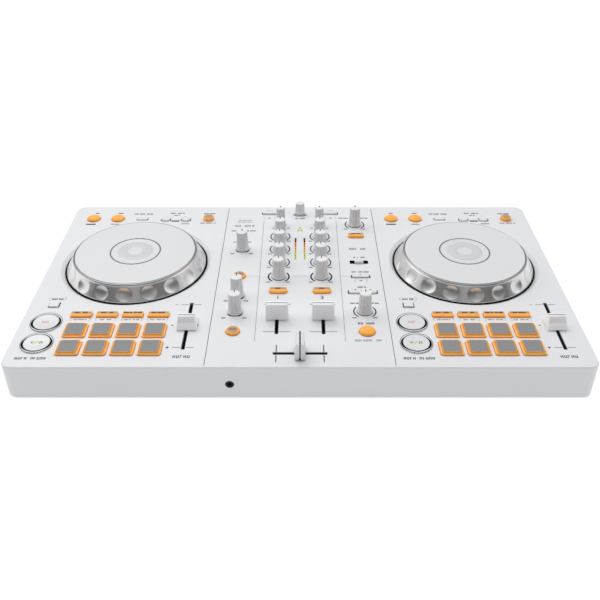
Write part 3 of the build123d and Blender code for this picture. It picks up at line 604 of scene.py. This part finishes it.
def mixer_keys(shade_marks):
    """Every key of the mixer and of the effect section."""
    load = Shape()
    for x in (-LOAD_X, LOAD_X):
        rounded_key(load, x, BACK_ROW_Y, *LOAD_KEY, 0.5, slots=(0, 0, 0))
        paint_gap_shade(shade_marks, x, BACK_ROW_Y, LOAD_KEY, 0.9)
    load.piece("load_key_caps", "load_keys", [KEY_WHITE], ["load_keys"])

    cues = Shape()
    cue_y = middle("channel_cue_keys")[1]
    for x in (-CHANNEL_X, CHANNEL_X):
        lettered_key(cues, x, cue_y, *CHANNEL_CUE_KEY, (3,))
    cues.piece("channel_cue_caps", "channel_cue_keys", AMBER_KEY, ["channel_cue_keys"])

    assist = Shape()
    for y in ASSIST_Y:
        rounded_key(assist, -SIDE_X, y, *ASSIST_KEY, 1.4, 0.3, slots=(1, 0, 2))
        words(assist, (5,), -SIDE_X, y, 1.3, 3, 2.7)
    assist.piece("mix_assist_caps", "mix_assist_keys", AMBER_KEY, ["mix_assist_keys"])

    master = Shape()
    lettered_key(master, *middle("master_cue_key"), *MASTER_CUE_KEY, (6,))
    master.piece("master_cue_cap", "master_cue_key", AMBER_KEY, ["master_cue_key"])

    effects = Shape()
    arrow = (1.55, 1.63)
    rounded_key(effects, SIDE_X, SELECT_Y, *SELECT_KEY, 0.5, slots=(0, 0, 0))
    paint_gap_shade(shade_marks, SIDE_X, SELECT_Y, SELECT_KEY, 1.1)
    effects.loft([[(SIDE_X - 1.0, SELECT_Y + 1.4, z), (SIDE_X + 1.0, SELECT_Y + 1.4, z),
                   (SIDE_X, SELECT_Y, z)] for z in arrow], [1])
    for x, point in BEAT_KEYS:
        rounded_key(effects, x, BEAT_Y, *BEAT_KEY, 0.5, slots=(0, 0, 0))
        paint_gap_shade(shade_marks, x, BEAT_Y, BEAT_KEY, 1.0)
        effects.loft([[(x - point * 0.8, BEAT_Y + 0.2, z), (x - point * 0.8, BEAT_Y + 2.2, z),
                       (x + point * 0.9, BEAT_Y + 1.2, z)][::point] for z in arrow], [1])
    effects.piece("effect_key_caps", "effect_keys", [KEY_WHITE, INK_AND_SHADE], ["effect_keys"])

    on_key = Shape()
    dome(on_key, *middle("effect_on_key"), *EFFECT_ON_DOME)
    on_key.piece("effect_on_cap", "effect_on_key", [GLOW, SHADED_GLOW], ["effect_on_key"])


# ---------------------------------------------------------------- knobs, faders and the switch

def knob(node, foot, head, skirt, shade_marks, pointer=True):
    """A tall fluted knob over a round skirt, with a dark pointer on its top."""
    x, y = middle(node)
    top = height_of(node)
    shape = Shape()
    count = FLUTES * 6

    def flute(depth):
        return lambda angle: depth * (0.5 - 0.5 * math.cos(FLUTES * angle)) ** 2

    loops = [circle(x, y, 0.4, skirt - 0.3, count), circle(x, y, 0.6, skirt, count),
             circle(x, y, 1.3, skirt, count), circle(x, y, 1.75, skirt - 0.25, count),
             circle(x, y, 2.0, skirt - 0.7, count)]
    steps = 8
    for i in range(steps + 1):
        share = i / steps
        radius = foot + (head - foot) * share ** 0.7
        depth = 0.8 * min(1, 4 * share, 6 * (1 - share) + 0.35)
        loops.append(circle(x, y, 2.2 + (top - 3.0) * share, radius, count, flute(depth)))
    loops.append(circle(x, y, top - 0.4, head - 0.12, count))
    loops.append(circle(x, y, top - 0.12, head - 0.4, count))
    loops.append(circle(x, y, top, head - 0.75, count))
    loops.append(circle(x, y, top - 0.1, head * 0.45, count))
    # The top bevel and face take the lighter knob top, as painted light.
    shape.loft(loops, [0] * (len(loops) - 4) + [2])
    if pointer:
        shape.block(x, y + head * 0.62, 0.85, head * 0.66, top - 0.2, top, 1)
    shape.piece(f"{node}_cap", node, [KNOB, INK_AND_SHADE, KNOB_TOP_PAINTED_LIGHT], [node], sharp=50)
    # A dark ring under the skirt and just past it is painted contact shadow.
    ring(shade_marks, x, y, skirt - 1.5, skirt + 0.1, 0.0, INK_HEIGHT, 1)


def knobs(shade_marks):
    """All sixteen knobs. The browse knob turns without end, so it has no pointer."""
    for node in sorted(frame["bodies"]):
        if not node.endswith("_knob"):
            continue
        if node == "browse_knob":
            knob(node, *BROWSE_SIZE, shade_marks, pointer=False)
        elif node.endswith("trim_knob"):
            knob(node, *TRIM_SIZE, shade_marks)
        else:
            knob(node, *KNOB_SIZE, shade_marks)


def lever(shape, x, y, along_x, slot):
    """The steel blade between a fader cap and its potentiometer."""
    length, thickness = 4.0, 1.2
    size = (length, thickness) if along_x else (thickness, length)
    shape.block(x, y, *size, -7.0, 2.0, slot)


def fader_cap(node, along_x=False):
    """A tall narrow cap with finely ribbed faces and a dark line over its middle and down its ends."""
    x, y = middle(node)
    top = height_of(node)
    shape = Shape()

    def plan(z, length, depth, corner=0.9):
        size = (depth, length) if along_x else (length, depth)
        return outline(x, y, z, *size, corner, 5)

    loops = [plan(1.0, CAP_LENGTH - 0.4, CAP_DEPTH - 0.4), plan(1.4, CAP_LENGTH, CAP_DEPTH)]
    steps = 4 * CAP_RIBS
    for i in range(1, steps):
        share = i / steps
        hollow = 0.4 * math.sin(math.pi * share) + (0.14 if i % 4 == 0 else 0)
        loops.append(plan(1.4 + (top - 2.0) * share, CAP_LENGTH - 1.4 * share,
                          CAP_DEPTH - 2.6 * share - hollow))
    loops += [plan(top - 0.5, 18.6, 6.6), plan(top - 0.15, 18.2, 6.2), plan(top, 17.6, 5.6)]
    shape.loft(loops, [0])
    line = (1.1, 18.4) if along_x else (18.4, 0.9)
    shape.block(x, y, *line, top - 0.8, top, 1)
    for end in (-1, 1):
        rise = top - 2.0
        for i in range(8):
            reach = CAP_LENGTH / 2 - 0.7 * (i + 0.5) / 8 - 0.15
            spot = (x, y + end * reach) if along_x else (x + end * reach, y)
            size = (0.9, 0.42) if along_x else (0.42, 0.9)
            shape.block(*spot, *size, 1.4 + rise * i / 8, 1.4 + rise * (i + 1) / 8, 1)
    if along_x:
        shape.loft([circle(x, y - 9.6, z, 0.9, 20) for z in (1.3, 2.6)], [1])
    lever(shape, x, y, along_x, 2)
    shape.piece(f"{node}_cap", node, [KNOB if along_x else FADER_PAINTED_GLOW, INK_AND_SHADE, STEEL], [node])


def tempo_cap(word):
    """A tent-shaped cap with a ledge half-way down each long side."""
    node = f"tempo_fader_{word}"
    x, y = middle(node)
    top = height_of(node)
    shape = Shape()
    stages = [(1.0, 16.8, 17.2), (1.4, 17.2, 17.6), (2.0, 17.0, 16.8), (5.6, 15.9, 10.6),
              (6.0, 15.7, 9.4), (6.4, 15.5, 9.3), (top - 0.7, 14.4, 5.6), (top - 0.2, 14.0, 5.0),
              (top, 13.4, 4.4)]
    shape.loft([outline(x, y, z, length, depth, 0.9, 5) for z, length, depth in stages], [0])
    shape.block(x, y, 14.0, 0.9, top - 0.8, top, 1)
    lever(shape, x, y, False, 2)
    shape.piece(f"{node}_cap", node, [FADER_PAINTED_GLOW, PALE_INK, STEEL], [node])


def slide_switch(shade_marks):
    """The white head over its black shutter, and painted shade lining its window."""
    x, y = middle("slide_switch")
    shape = Shape()
    rounded_key(shape, x, y, 8.0, 4.8, 0.8, 1.0, 0.2, slots=(0, 0, 0))
    stages = [(0.45, 8.4, 6.6), (0.7, 8.6, 6.8), (1.9, 8.2, 6.2), (2.45, 7.4, 5.4), (2.6, 6.8, 4.8)]
    shape.loft([outline(x, y, z, length, depth, 1.0) for z, length, depth in stages], [0])
    for offset in (-1.6, 0.0, 1.6):
        shape.block(x + offset, y, 0.5, 3.6, 2.5, 2.75, 0)
    shape.block(x, y, 26.9, 7.6, -3.6, -2.6, 1)
    shape.piece("slide_switch_cap", "slide_switch", [KEY_WHITE, BLACK_AND_SHADE], ["slide_switch"])
    # The dark lining of the window walls is painted shade.
    sides = [(17.86, 5.96, 1.0, -2.4), (17.86, 5.96, 1.0, -0.05), (17.5, 5.6, 0.9, -0.05),
             (17.5, 5.6, 0.9, -2.4)]
    shade_marks.loft([outline(x, y, z, length, depth, corner) for length, depth, corner, z in sides], [0],
              closed=True)


def slot_lips(shade_marks):
    """Black felt lips that close each fader slot on both sides of its lever, and painted shade along the
    slot edges.
    """
    slots = [(f"tempo_fader_{word}", TEMPO_SLOT, False) for word in WORDS]
    slots += [(f"channel_{number}_fader", CHANNEL_SLOT, False) for number in (1, 2)]
    slots.append(("crossfader", CROSSFADER_SLOT, True))
    for node, length, along_x in slots:
        x, y = middle(node)
        for side in (-1, 1):
            offset = side * 1.03
            spot = (x, y + offset) if along_x else (x + offset, y)
            size = (length, 0.70) if along_x else (0.70, length)
            shade_marks.block(*spot, *size, -1.8, -0.6, 2)
            # A thin strip of the felt on the panel along each slot edge is painted shade.
            edge = (x, y + side * 1.5) if along_x else (x + side * 1.5, y)
            rim = (length, 0.2) if along_x else (0.2, length)
            shade_marks.block(*edge, *rim, 0, INK_HEIGHT, 2)


def seams(shade_marks):
    """Shade in the two grooves where the decks meet the mixer."""
    for x in (-SEAM_X, SEAM_X):
        shade_marks.block(x, -1.0, 0.46, 264.0, -0.52, -0.15, 1)


# ---------------------------------------------------------------- jog wheels

def jog_band(word):
    """The sloped silver band with its ring of round hollows, and the lip round the platter in darker
    plating that paints a dark reflection.
    """
    x, y = middle(f"jog_ring_{word}")
    foot, head = BAND_FOOT, BAND_HEAD
    slope = math.dist(foot, head)
    inward = (-(head[1] - foot[1]) / slope, -(foot[0] - head[0]) / slope)
    around, up = DIMPLES * 26, 30
    shape = Shape()

    def turned(radius, height):
        return [(x + radius * math.cos(a), y + radius * math.sin(a), height)
                for a in (2 * math.pi * i / around - math.pi / 2 for i in range(around))]

    loops = [turned(foot[0] - 3.2, foot[1]), turned(foot[0] - 0.6, foot[1])]
    for row in range(up + 1):
        share = row / up
        radius = foot[0] + (head[0] - foot[0]) * share
        height = foot[1] + (head[1] - foot[1]) * share
        points = []
        for i in range(around):
            angle = 2 * math.pi * i / around - math.pi / 2
            turn = (i / around * DIMPLES + 0.5) % 1 - 0.5
            across = turn * 2 * math.pi / DIMPLES * radius / DIMPLE_STRETCH
            away = math.hypot(across, (share - 0.5) * slope)
            reach = math.sqrt(max(DIMPLE_SPHERE ** 2 - away ** 2, 0)) - (DIMPLE_SPHERE - DIMPLE_DEPTH)
            edge = 0.35 * max(0, 1 - min(share, 1 - share) * 12) ** 2
            depth = max(reach, 0.0) + edge
            r = radius + inward[0] * depth
            z = height + inward[1] * depth
            points.append((x + r * math.cos(angle), y + r * math.sin(angle), z))
        loops.append(points)
    lip = ((58.45, 11.75), (58.3, 12.1), (57.9, 12.4), (57.4, 12.5), (57.15, 12.3), (57.1, 10.0),
           (54.5, 10.0), (54.5, 8.4), (55.6, 8.4))
    loops += [turned(radius, height) for radius, height in lip]
    bands = [0] * (up + 3) + [1] * len(lip)
    shape.loft(loops, bands, closed=True)
    shape.piece(f"jog_ring_{word}_band", f"jog_wheel_{word}", [SILVER, LIP_PAINTED_REFLECTION],
                [f"jog_ring_{word}"], sharp=30)


def jog_platter(word):
    """The white disc on top, with a grey groove and faint turned rings about its middle."""
    x, y = middle(f"jog_platter_{word}")
    shape = Shape()
    edge = [(55.9, 10.0), (56.6, 10.2), (56.7, 12.4), (56.5, 12.8), (56.1, 13.0)]
    groove = [(24.25, 13.0), (24.1, 12.55), (23.0, 12.55), (22.85, 13.0)]
    rings = []
    for radius in (20.4, 17.2, 6.6, 3.6):
        rings += [(radius + 0.35, 12.98), (radius + 0.12, 12.88), (radius - 0.12, 12.88),
                  (radius - 0.35, 12.98)]
    profile = edge + [(40.0, 13.0)] + groove + rings + [(1.0, 12.98)]
    slots = []
    for (outer, _), (inner, _) in zip(profile, profile[1:]):
        in_groove = groove[-1][0] <= inner and outer <= groove[0][0]
        in_centre = 6.9 <= inner and outer <= 17.0
        slots.append(1 if in_groove else 2 if in_centre else 0)
    shape.loft([circle(x, y, z, r, 180) for r, z in profile], slots)
    shape.piece(f"jog_platter_{word}_disc", f"jog_wheel_{word}", [PLATTER, PALE_INK, CENTRE],
                [f"jog_platter_{word}"], sharp=25)


# ---------------------------------------------------------------- printed marks and lamps

def tick(prints, x, y, length, width=0.7, slot=PALE):
    """A short printed bar."""
    prints.block(x, y, length, width, 0, INK_HEIGHT, slot)


def brackets(prints, x, y, width):
    """Printed arcs at both sides of a knob."""
    for start, end in ((-52, 42), (138, 232)):
        prints.arc(x, y, 9.7, width, start, end, 0, INK_HEIGHT)


def frame_marks(prints, x, y, length, depth, slot=PALE):
    """The ends of a printed box round a small label."""
    for end in (-1, 1):
        prints.arc(x + end * (length / 2 - depth / 2), y, depth / 2, 0.3, 90 - 90 * end - 90,
                   90 - 90 * end + 90, 0, INK_HEIGHT, slot)


def deck_print(prints, word):
    """Labels, slot ends and signs on the panel of one deck."""
    jog_x = middle(f"jog_platter_{word}")[0]
    row_y = middle(f"loop_keys_{word}")[1]
    words(prints, (2,), jog_x - 60.0, row_y + 12.4, 2.4)
    words(prints, (3,), jog_x - 34.4, row_y + 12.4, 2.4)
    words(prints, (6, 4), jog_x + EXIT_SPOT, row_y + 11.0, 2.2)
    words(prints, (3, 4), jog_x + 26.2, row_y + 12.6, 2.2)
    words(prints, (4,), jog_x + 26.2, row_y + 8.2, 1.8)
    words(prints, (6,), jog_x + 60.6, row_y + 11.5, 2.4)
    for offset in CALL_SPOTS:
        prints.arc(jog_x + offset, row_y, 6.2, 0.6, 205, 335, 0, INK_HEIGHT)
    tick(prints, jog_x - 62.0, row_y - 11.5, 10.0, 2.2, DARK)
    tick(prints, jog_x - 36.5, row_y - 11.5, 9.0, 1.6)
    tick(prints, jog_x + 26.0, row_y - 4.5, 8.5, 2.4, DARK)
    tick(prints, jog_x + 36.7, row_y - 10.5, 9.0, 1.6)
    words(prints, (8,), jog_x + 60.6, row_y - 9.0, 2.4, PALE)

    tempo_x, tempo_y = middle(f"tempo_fader_{word}")
    for y in (tempo_y - 30.6, tempo_y + 30.6):
        for offset in (-5.6, 5.6):
            tick(prints, tempo_x + offset, y, 6.6)
    for offset in (-13.0, 8.8):
        prints.loft([circle(tempo_x + offset, tempo_y, z, 0.8, 24) for z in (0, INK_HEIGHT)], [DARK])
    tick(prints, tempo_x - 13.0, tempo_y + 30.6, 2.4, 0.6)
    tick(prints, tempo_x - 13.0, tempo_y - 30.6, 2.6, 0.8, DARK)
    tick(prints, tempo_x - 13.0, tempo_y - 30.6, 0.8, 2.6, DARK)
    words(prints, (5,), tempo_x, tempo_y - 42.5, 3.4)

    play_x, play_y = middle(f"play_key_{word}")
    words(prints, (4, 5), play_x, play_y - 19.5, 3.0)
    shift_x, shift_y = middle(f"shift_key_{word}")
    words(prints, (5,), shift_x + 0.5, shift_y + 8.8, 2.4)
    frame_marks(prints, shift_x + 0.5, shift_y + 8.8, 15.5, 4.6)

    mode_x, mode_y = middle(f"mode_keys_{word}")
    for x, counts in zip(spread(mode_x, 4, PAD_PITCH_X), ((8,), (3, 3), (4, 4), (3, 5))):
        words(prints, counts, x, mode_y - 6.4, 1.7, PALE)
        frame_marks(prints, x, mode_y - 6.4, 18.0, 2.8)


def knob_print(prints, node):
    """Arcs and end marks of one knob. The three knobs on the left have end marks and, in place of the
    long arcs, two short dark marks just outside the front of the skirt.
    """
    x, y = middle(node)
    if x > -50:
        brackets(prints, x, y, 1.5 if "filter" in node else 1.15)
    else:
        for start, end in ((212, 244), (296, 328)):
            prints.arc(x, y, 7.4, 0.7, start, end, 0, INK_HEIGHT)
    words(prints, (3,), x - 9.4, y - 9.3, 1.7)
    words(prints, (3,), x + 9.0, y - 9.3, 1.7)


def mixer_print(prints):
    """Labels, digits, box lines and knob marks on the mixer panel."""
    for node in sorted(frame["bodies"]):
        if node.endswith("_knob") and "trim" not in node and node != "browse_knob":
            knob_print(prints, node)
    for number, x in (("1", -CHANNEL_X), ("2", CHANNEL_X)):
        prints.letters(number, x, -38.0, 6.6)
        words(prints, (2,), x - 8.0, 88.7, 1.6)
        words(prints, (2,), x + 8.0, 88.7, 1.6)
        for y in (-48.6, -89.0):
            for offset in (-6.9, 6.9):
                tick(prints, x + offset, y, 9.6, 0.8)
    for x in (-19.5, 19.5):
        for offset in (-6.6, 6.6):
            tick(prints, x, middle("crossfader")[1] + offset, 0.8, 9.2, DARK)
    for x in (-38.0, 38.0):
        tick(prints, x, 1.0, 0.4, 206.0)
    for x, length in ((-43.5, 10.0), (0.0, 16.0), (43.5, 10.0)):
        tick(prints, x, -2.6, length, 0.4)
    for start, end, width in ((200, 243, 1.1), (243, 297, 0.5), (297, 340, 1.1)):
        prints.arc(0, BACK_ROW_Y, 7.3, width, start, end, 0, INK_HEIGHT)
    words(prints, (2, 3), 0, 109.5, 2.0)
    for x in (-LOAD_X, LOAD_X):
        words(prints, (4,), x, 126.4, 2.2)
        words(prints, (2,), x, 110.2, 1.7)
        frame_marks(prints, x, 110.2, 12.0, 4.0)
    words(prints, (11,), -57.5, 105.0, 1.5, PALE)
    words(prints, (12,), -57.5, 101.6, 1.5, PALE)
    words(prints, (3, 4), -57.8, 93.5, 3.0)
    words(prints, (7, 7), -57.8, 83.0, 2.0)
    words(prints, (3,), -65.1, 60.3, 1.6)
    words(prints, (3,), -50.5, 60.3, 1.6)
    words(prints, (3, 2), 57.0, 47.0, 3.2)
    words(prints, (1, 1, 3), 58.2, 30.9, 2.0)
    words(prints, (3, 6), 56.9, 4.6, 1.9)
    words(prints, (2,), 56.9, -10.2, 1.6)
    frame_marks(prints, 56.9, -10.2, 12.0, 3.4)
    words(prints, (4,), 56.9, -21.2, 2.2)
    words(prints, (5,), 48.8, -47.0, 2.0)
    words(prints, (5,), 66.0, -47.0, 2.0)
    words(prints, (2, 3), 56.9, -77.2, 2.8)
    words(prints, (7, 2), 57.0, -101.0, 2.6, BLUE)
    words(prints, (6,), 46.0, 110.2, 2.0)
    words(prints, (5,), 67.4, 110.2, 2.0)


def printed_marks():
    """All print on the panel, as one thin piece."""
    prints = Shape()
    for word in WORDS:
        deck_print(prints, word)
    mixer_print(prints)
    prints.piece("printed_marks", "case", [INK_AND_SHADE, PALE_INK, BLUE_INK])


def meter():
    """Ten lamps in each column: green below, then yellow, orange and red."""
    colours = [0, 0, 0, 0, 1, 1, 2, 2, 3, 3]
    shape = Shape()
    low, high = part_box("level_meter")
    width = 1.9
    first = low.y / MM + 1.5
    for x in (low.x / MM + width / 2, high.x / MM - width / 2):
        for i, colour in enumerate(colours):
            shape.loft([outline(x, first + 4.3 * i, z, width, 3.0, 0.3, 3) for z in (-5.0, 0.07)],
                       [colour])
        shape.block(x, first + 19.35, 1.1, 40.0, -0.02, 0.04, 4)
    shape.loft([outline(0, high.y / MM - 1.5, z, 1.9, 3.0, 0.3, 3) for z in (-5.0, 0.04)], [0])
    shape.block(0, 89.4, 1.6, 1.6, 0, INK_HEIGHT, 4)
    for x in (-1.9, 1.9):
        shape.block(x, 83.6, 1.4, 5.0, 0, INK_HEIGHT)
        shape.block(x, 83.2, 0.9, 1.0, 0, INK_HEIGHT + 0.03, 4)
    shape.piece("level_meter_lamps", "case", [GREEN, YELLOW, ORANGE, RED, INK_AND_SHADE],
                ["level_meter"])


# ---------------------------------------------------------------- CAD nodes that stay

def dress_cad_nodes():
    """Gives each CAD node that stays its own finish, and the phono shells steel."""
    # The jog bases take the matt black used for painted shade, so their flange shows as a dark line at
    # the foot of each jog band.
    finishes = {"top_case": CASE, "bottom_cover": COVER, "rubber_feet": RUBBER, "case_screws": STEEL,
                "circuit_boards": BOARD, "rotary_pots": BLACK_AND_SHADE, "slide_pots": BLACK_AND_SHADE,
                "key_switches": BLACK_AND_SHADE, "rear_sockets": BLACK_AND_SHADE, "headphone_socket": BLACK_AND_SHADE,
                "jog_shafts": STEEL, "jog_base_left": SHADE_BLACK, "jog_base_right": SHADE_BLACK}
    for name, material in finishes.items():
        mesh = NODES[name].data
        mesh.materials.clear()
        mesh.materials.append(material)
    sockets = NODES["rear_sockets"].data
    sockets.materials.append(STEEL)
    for polygon in sockets.polygons:
        centre = polygon.center / MM
        for x in (-150.0, -132.0):
            if math.hypot(centre.x - x, centre.z - 21.0) < 4.6 and centre.y > 124.0:
                polygon.material_index = 1


# ---------------------------------------------------------------- studio

def staged(name, points, faces, material):
    """A part of the room round the object."""
    mesh = bpy.data.meshes.new(name)
    mesh.from_pydata(points, [], faces)
    mesh.materials.append(material)
    made = bpy.data.objects.new(name, mesh)
    bpy.context.scene.collection.objects.link(made)
    return made


def studio():
    """The camera, a pale floor inside white walls, and one soft lamp."""
    scene = bpy.context.scene
    scene.view_settings.view_transform = "Standard"
    camera = bpy.data.objects.new("camera", bpy.data.cameras.new("camera"))
    camera.data.lens = LENS
    camera.data.sensor_width = SENSOR
    camera.location = (0.0, -CAMERA_AHEAD, PANEL * MM + CAMERA_ABOVE_PANEL)
    camera.rotation_euler = (math.radians(90 - CAMERA_DIP), 0.0, 0.0)
    scene.collection.objects.link(camera)
    scene.camera = camera

    pale, white = (shader(name, (0.36, 0.36, 0.36), 0.8, tint=0.003, patch=2, grain=300, bump=0.0,
                          glow=(1, 1, 1), glow_strength=strength, steady=True)
                   for name, strength in (("studio_floor", FLOOR_GLOW), ("studio_walls", 1.0)))
    plan = [(-ROOM_REACH, -ROOM_REACH), (ROOM_REACH, -ROOM_REACH), (ROOM_REACH, ROOM_REACH),
            (-ROOM_REACH, ROOM_REACH)]
    corners = [(x, y, z) for z in (0.0, ROOM_HEIGHT) for x, y in plan]
    staged("floor", corners[:4], [(0, 1, 2, 3)], pale)
    walls = staged("walls", corners, [(i, (i + 1) % 4, (i + 1) % 4 + 4, i + 4) for i in range(4)], white)
    walls.visible_diffuse = False
    walls.visible_glossy = False
    walls.visible_transmission = False
    walls.visible_shadow = False

    lamp = bpy.data.lights.new("overhead", "AREA")
    lamp.shape = "RECTANGLE"
    lamp.size, lamp.size_y = LAMP_SIZE
    lamp.energy = LAMP_POWER
    overhead = bpy.data.objects.new("overhead", lamp)
    overhead.location = LAMP_SPOT
    overhead.rotation_euler = (*[math.radians(turn) for turn in LAMP_TURN], 0.0)
    scene.collection.objects.link(overhead)
    sky()


def sky():
    """A white room that is bright at the sides and behind, and dark low down on the player's side."""
    world = bpy.data.worlds.new("studio")
    bpy.context.scene.world = world
    world.use_nodes = True
    nodes = world.node_tree.nodes
    links = world.node_tree.links

    def step(operation, first, second=None):
        node = nodes.new("ShaderNodeMath")
        node.operation = operation
        for socket, value in zip(node.inputs, (first, second)):
            if isinstance(value, (int, float)):
                socket.default_value = value
            elif value is not None:
                links.new(value, socket)
        return node.outputs[0]

    def ramp(value, low, high, start, end):
        node = nodes.new("ShaderNodeMapRange")
        node.interpolation_type = "SMOOTHSTEP"
        for name, number in (("From Min", low), ("From Max", high), ("To Min", start), ("To Max", end)):
            node.inputs[name].default_value = number
        links.new(value, node.inputs["Value"])
        return node.outputs["Result"]

    place = nodes.new("ShaderNodeTexCoord")
    split = nodes.new("ShaderNodeSeparateXYZ")
    links.new(place.outputs["Generated"], split.inputs["Vector"])
    x, y, z = split.outputs["X"], split.outputs["Y"], split.outputs["Z"]
    level = step("SQRT", step("ADD", step("MULTIPLY", x, x), step("MULTIPLY", y, y)))
    towards_player = step("DIVIDE", step("MULTIPLY", y, -1.0), step("ADD", level, 0.001))
    in_front = step("MULTIPLY", ramp(towards_player, -0.05, 0.35, 0.0, 1.0),
                    ramp(z, 0.85, 1.0, 1.0, 0.0))
    patch = step("ADD", step("MULTIPLY", y, -math.cos(math.radians(PATCH_RISE))),
                 step("MULTIPLY", z, math.sin(math.radians(PATCH_RISE))))
    front_glow = step("ADD", step("ADD", ramp(z, 0.1, 0.5, 0.04, 0.16), ramp(z, 0.4, 0.95, 0.0, 0.25)),
                      ramp(patch, 0.955, 0.995, 0.0, PATCH_GLOW))
    low_glow = step("SUBTRACT", LOW_SIDE_GLOW, ramp(towards_player, -0.2, -0.9, 0.0, LOW_BACK_LOSS))
    rise = ramp(z, 0.25, 0.75, 0.0, 1.0)
    side_glow = step("ADD", step("MULTIPLY", low_glow, step("SUBTRACT", 1.0, rise)),
                     step("MULTIPLY", OVERHEAD_GLOW, rise))
    brightness = step("ADD", step("MULTIPLY", in_front, front_glow),
                      step("MULTIPLY", step("SUBTRACT", 1.0, in_front), side_glow))
    links.new(step("MULTIPLY", brightness, ramp(x, -1.0, 1.0, 1.06, 0.94)),
              nodes["Background"].inputs["Strength"])
    nodes["Background"].inputs["Color"].default_value = (1.0, 1.0, 1.0, 1)


# ---------------------------------------------------------------- the scene

studio()
dress_cad_nodes()
# One thin piece of painted shade round keys, under knobs, in the switch window, along the slot edges and
# in the seams, together with the felt of the fader slots.
painted_shade_marks = Shape()
for word in WORDS:
    deck_keys(word, painted_shade_marks)
    jog_band(word)
    jog_platter(word)
    tempo_cap(word)
mixer_keys(painted_shade_marks)
knobs(painted_shade_marks)
fader_cap("channel_1_fader")
fader_cap("channel_2_fader")
fader_cap("crossfader", along_x=True)
slide_switch(painted_shade_marks)
slot_lips(painted_shade_marks)
seams(painted_shade_marks)
painted_shade_marks.piece("panel_painted_shade", "case", [SHADE_BLACK, INK_AND_SHADE, FELT_AND_EDGE_SHADE])
printed_marks()
meter()
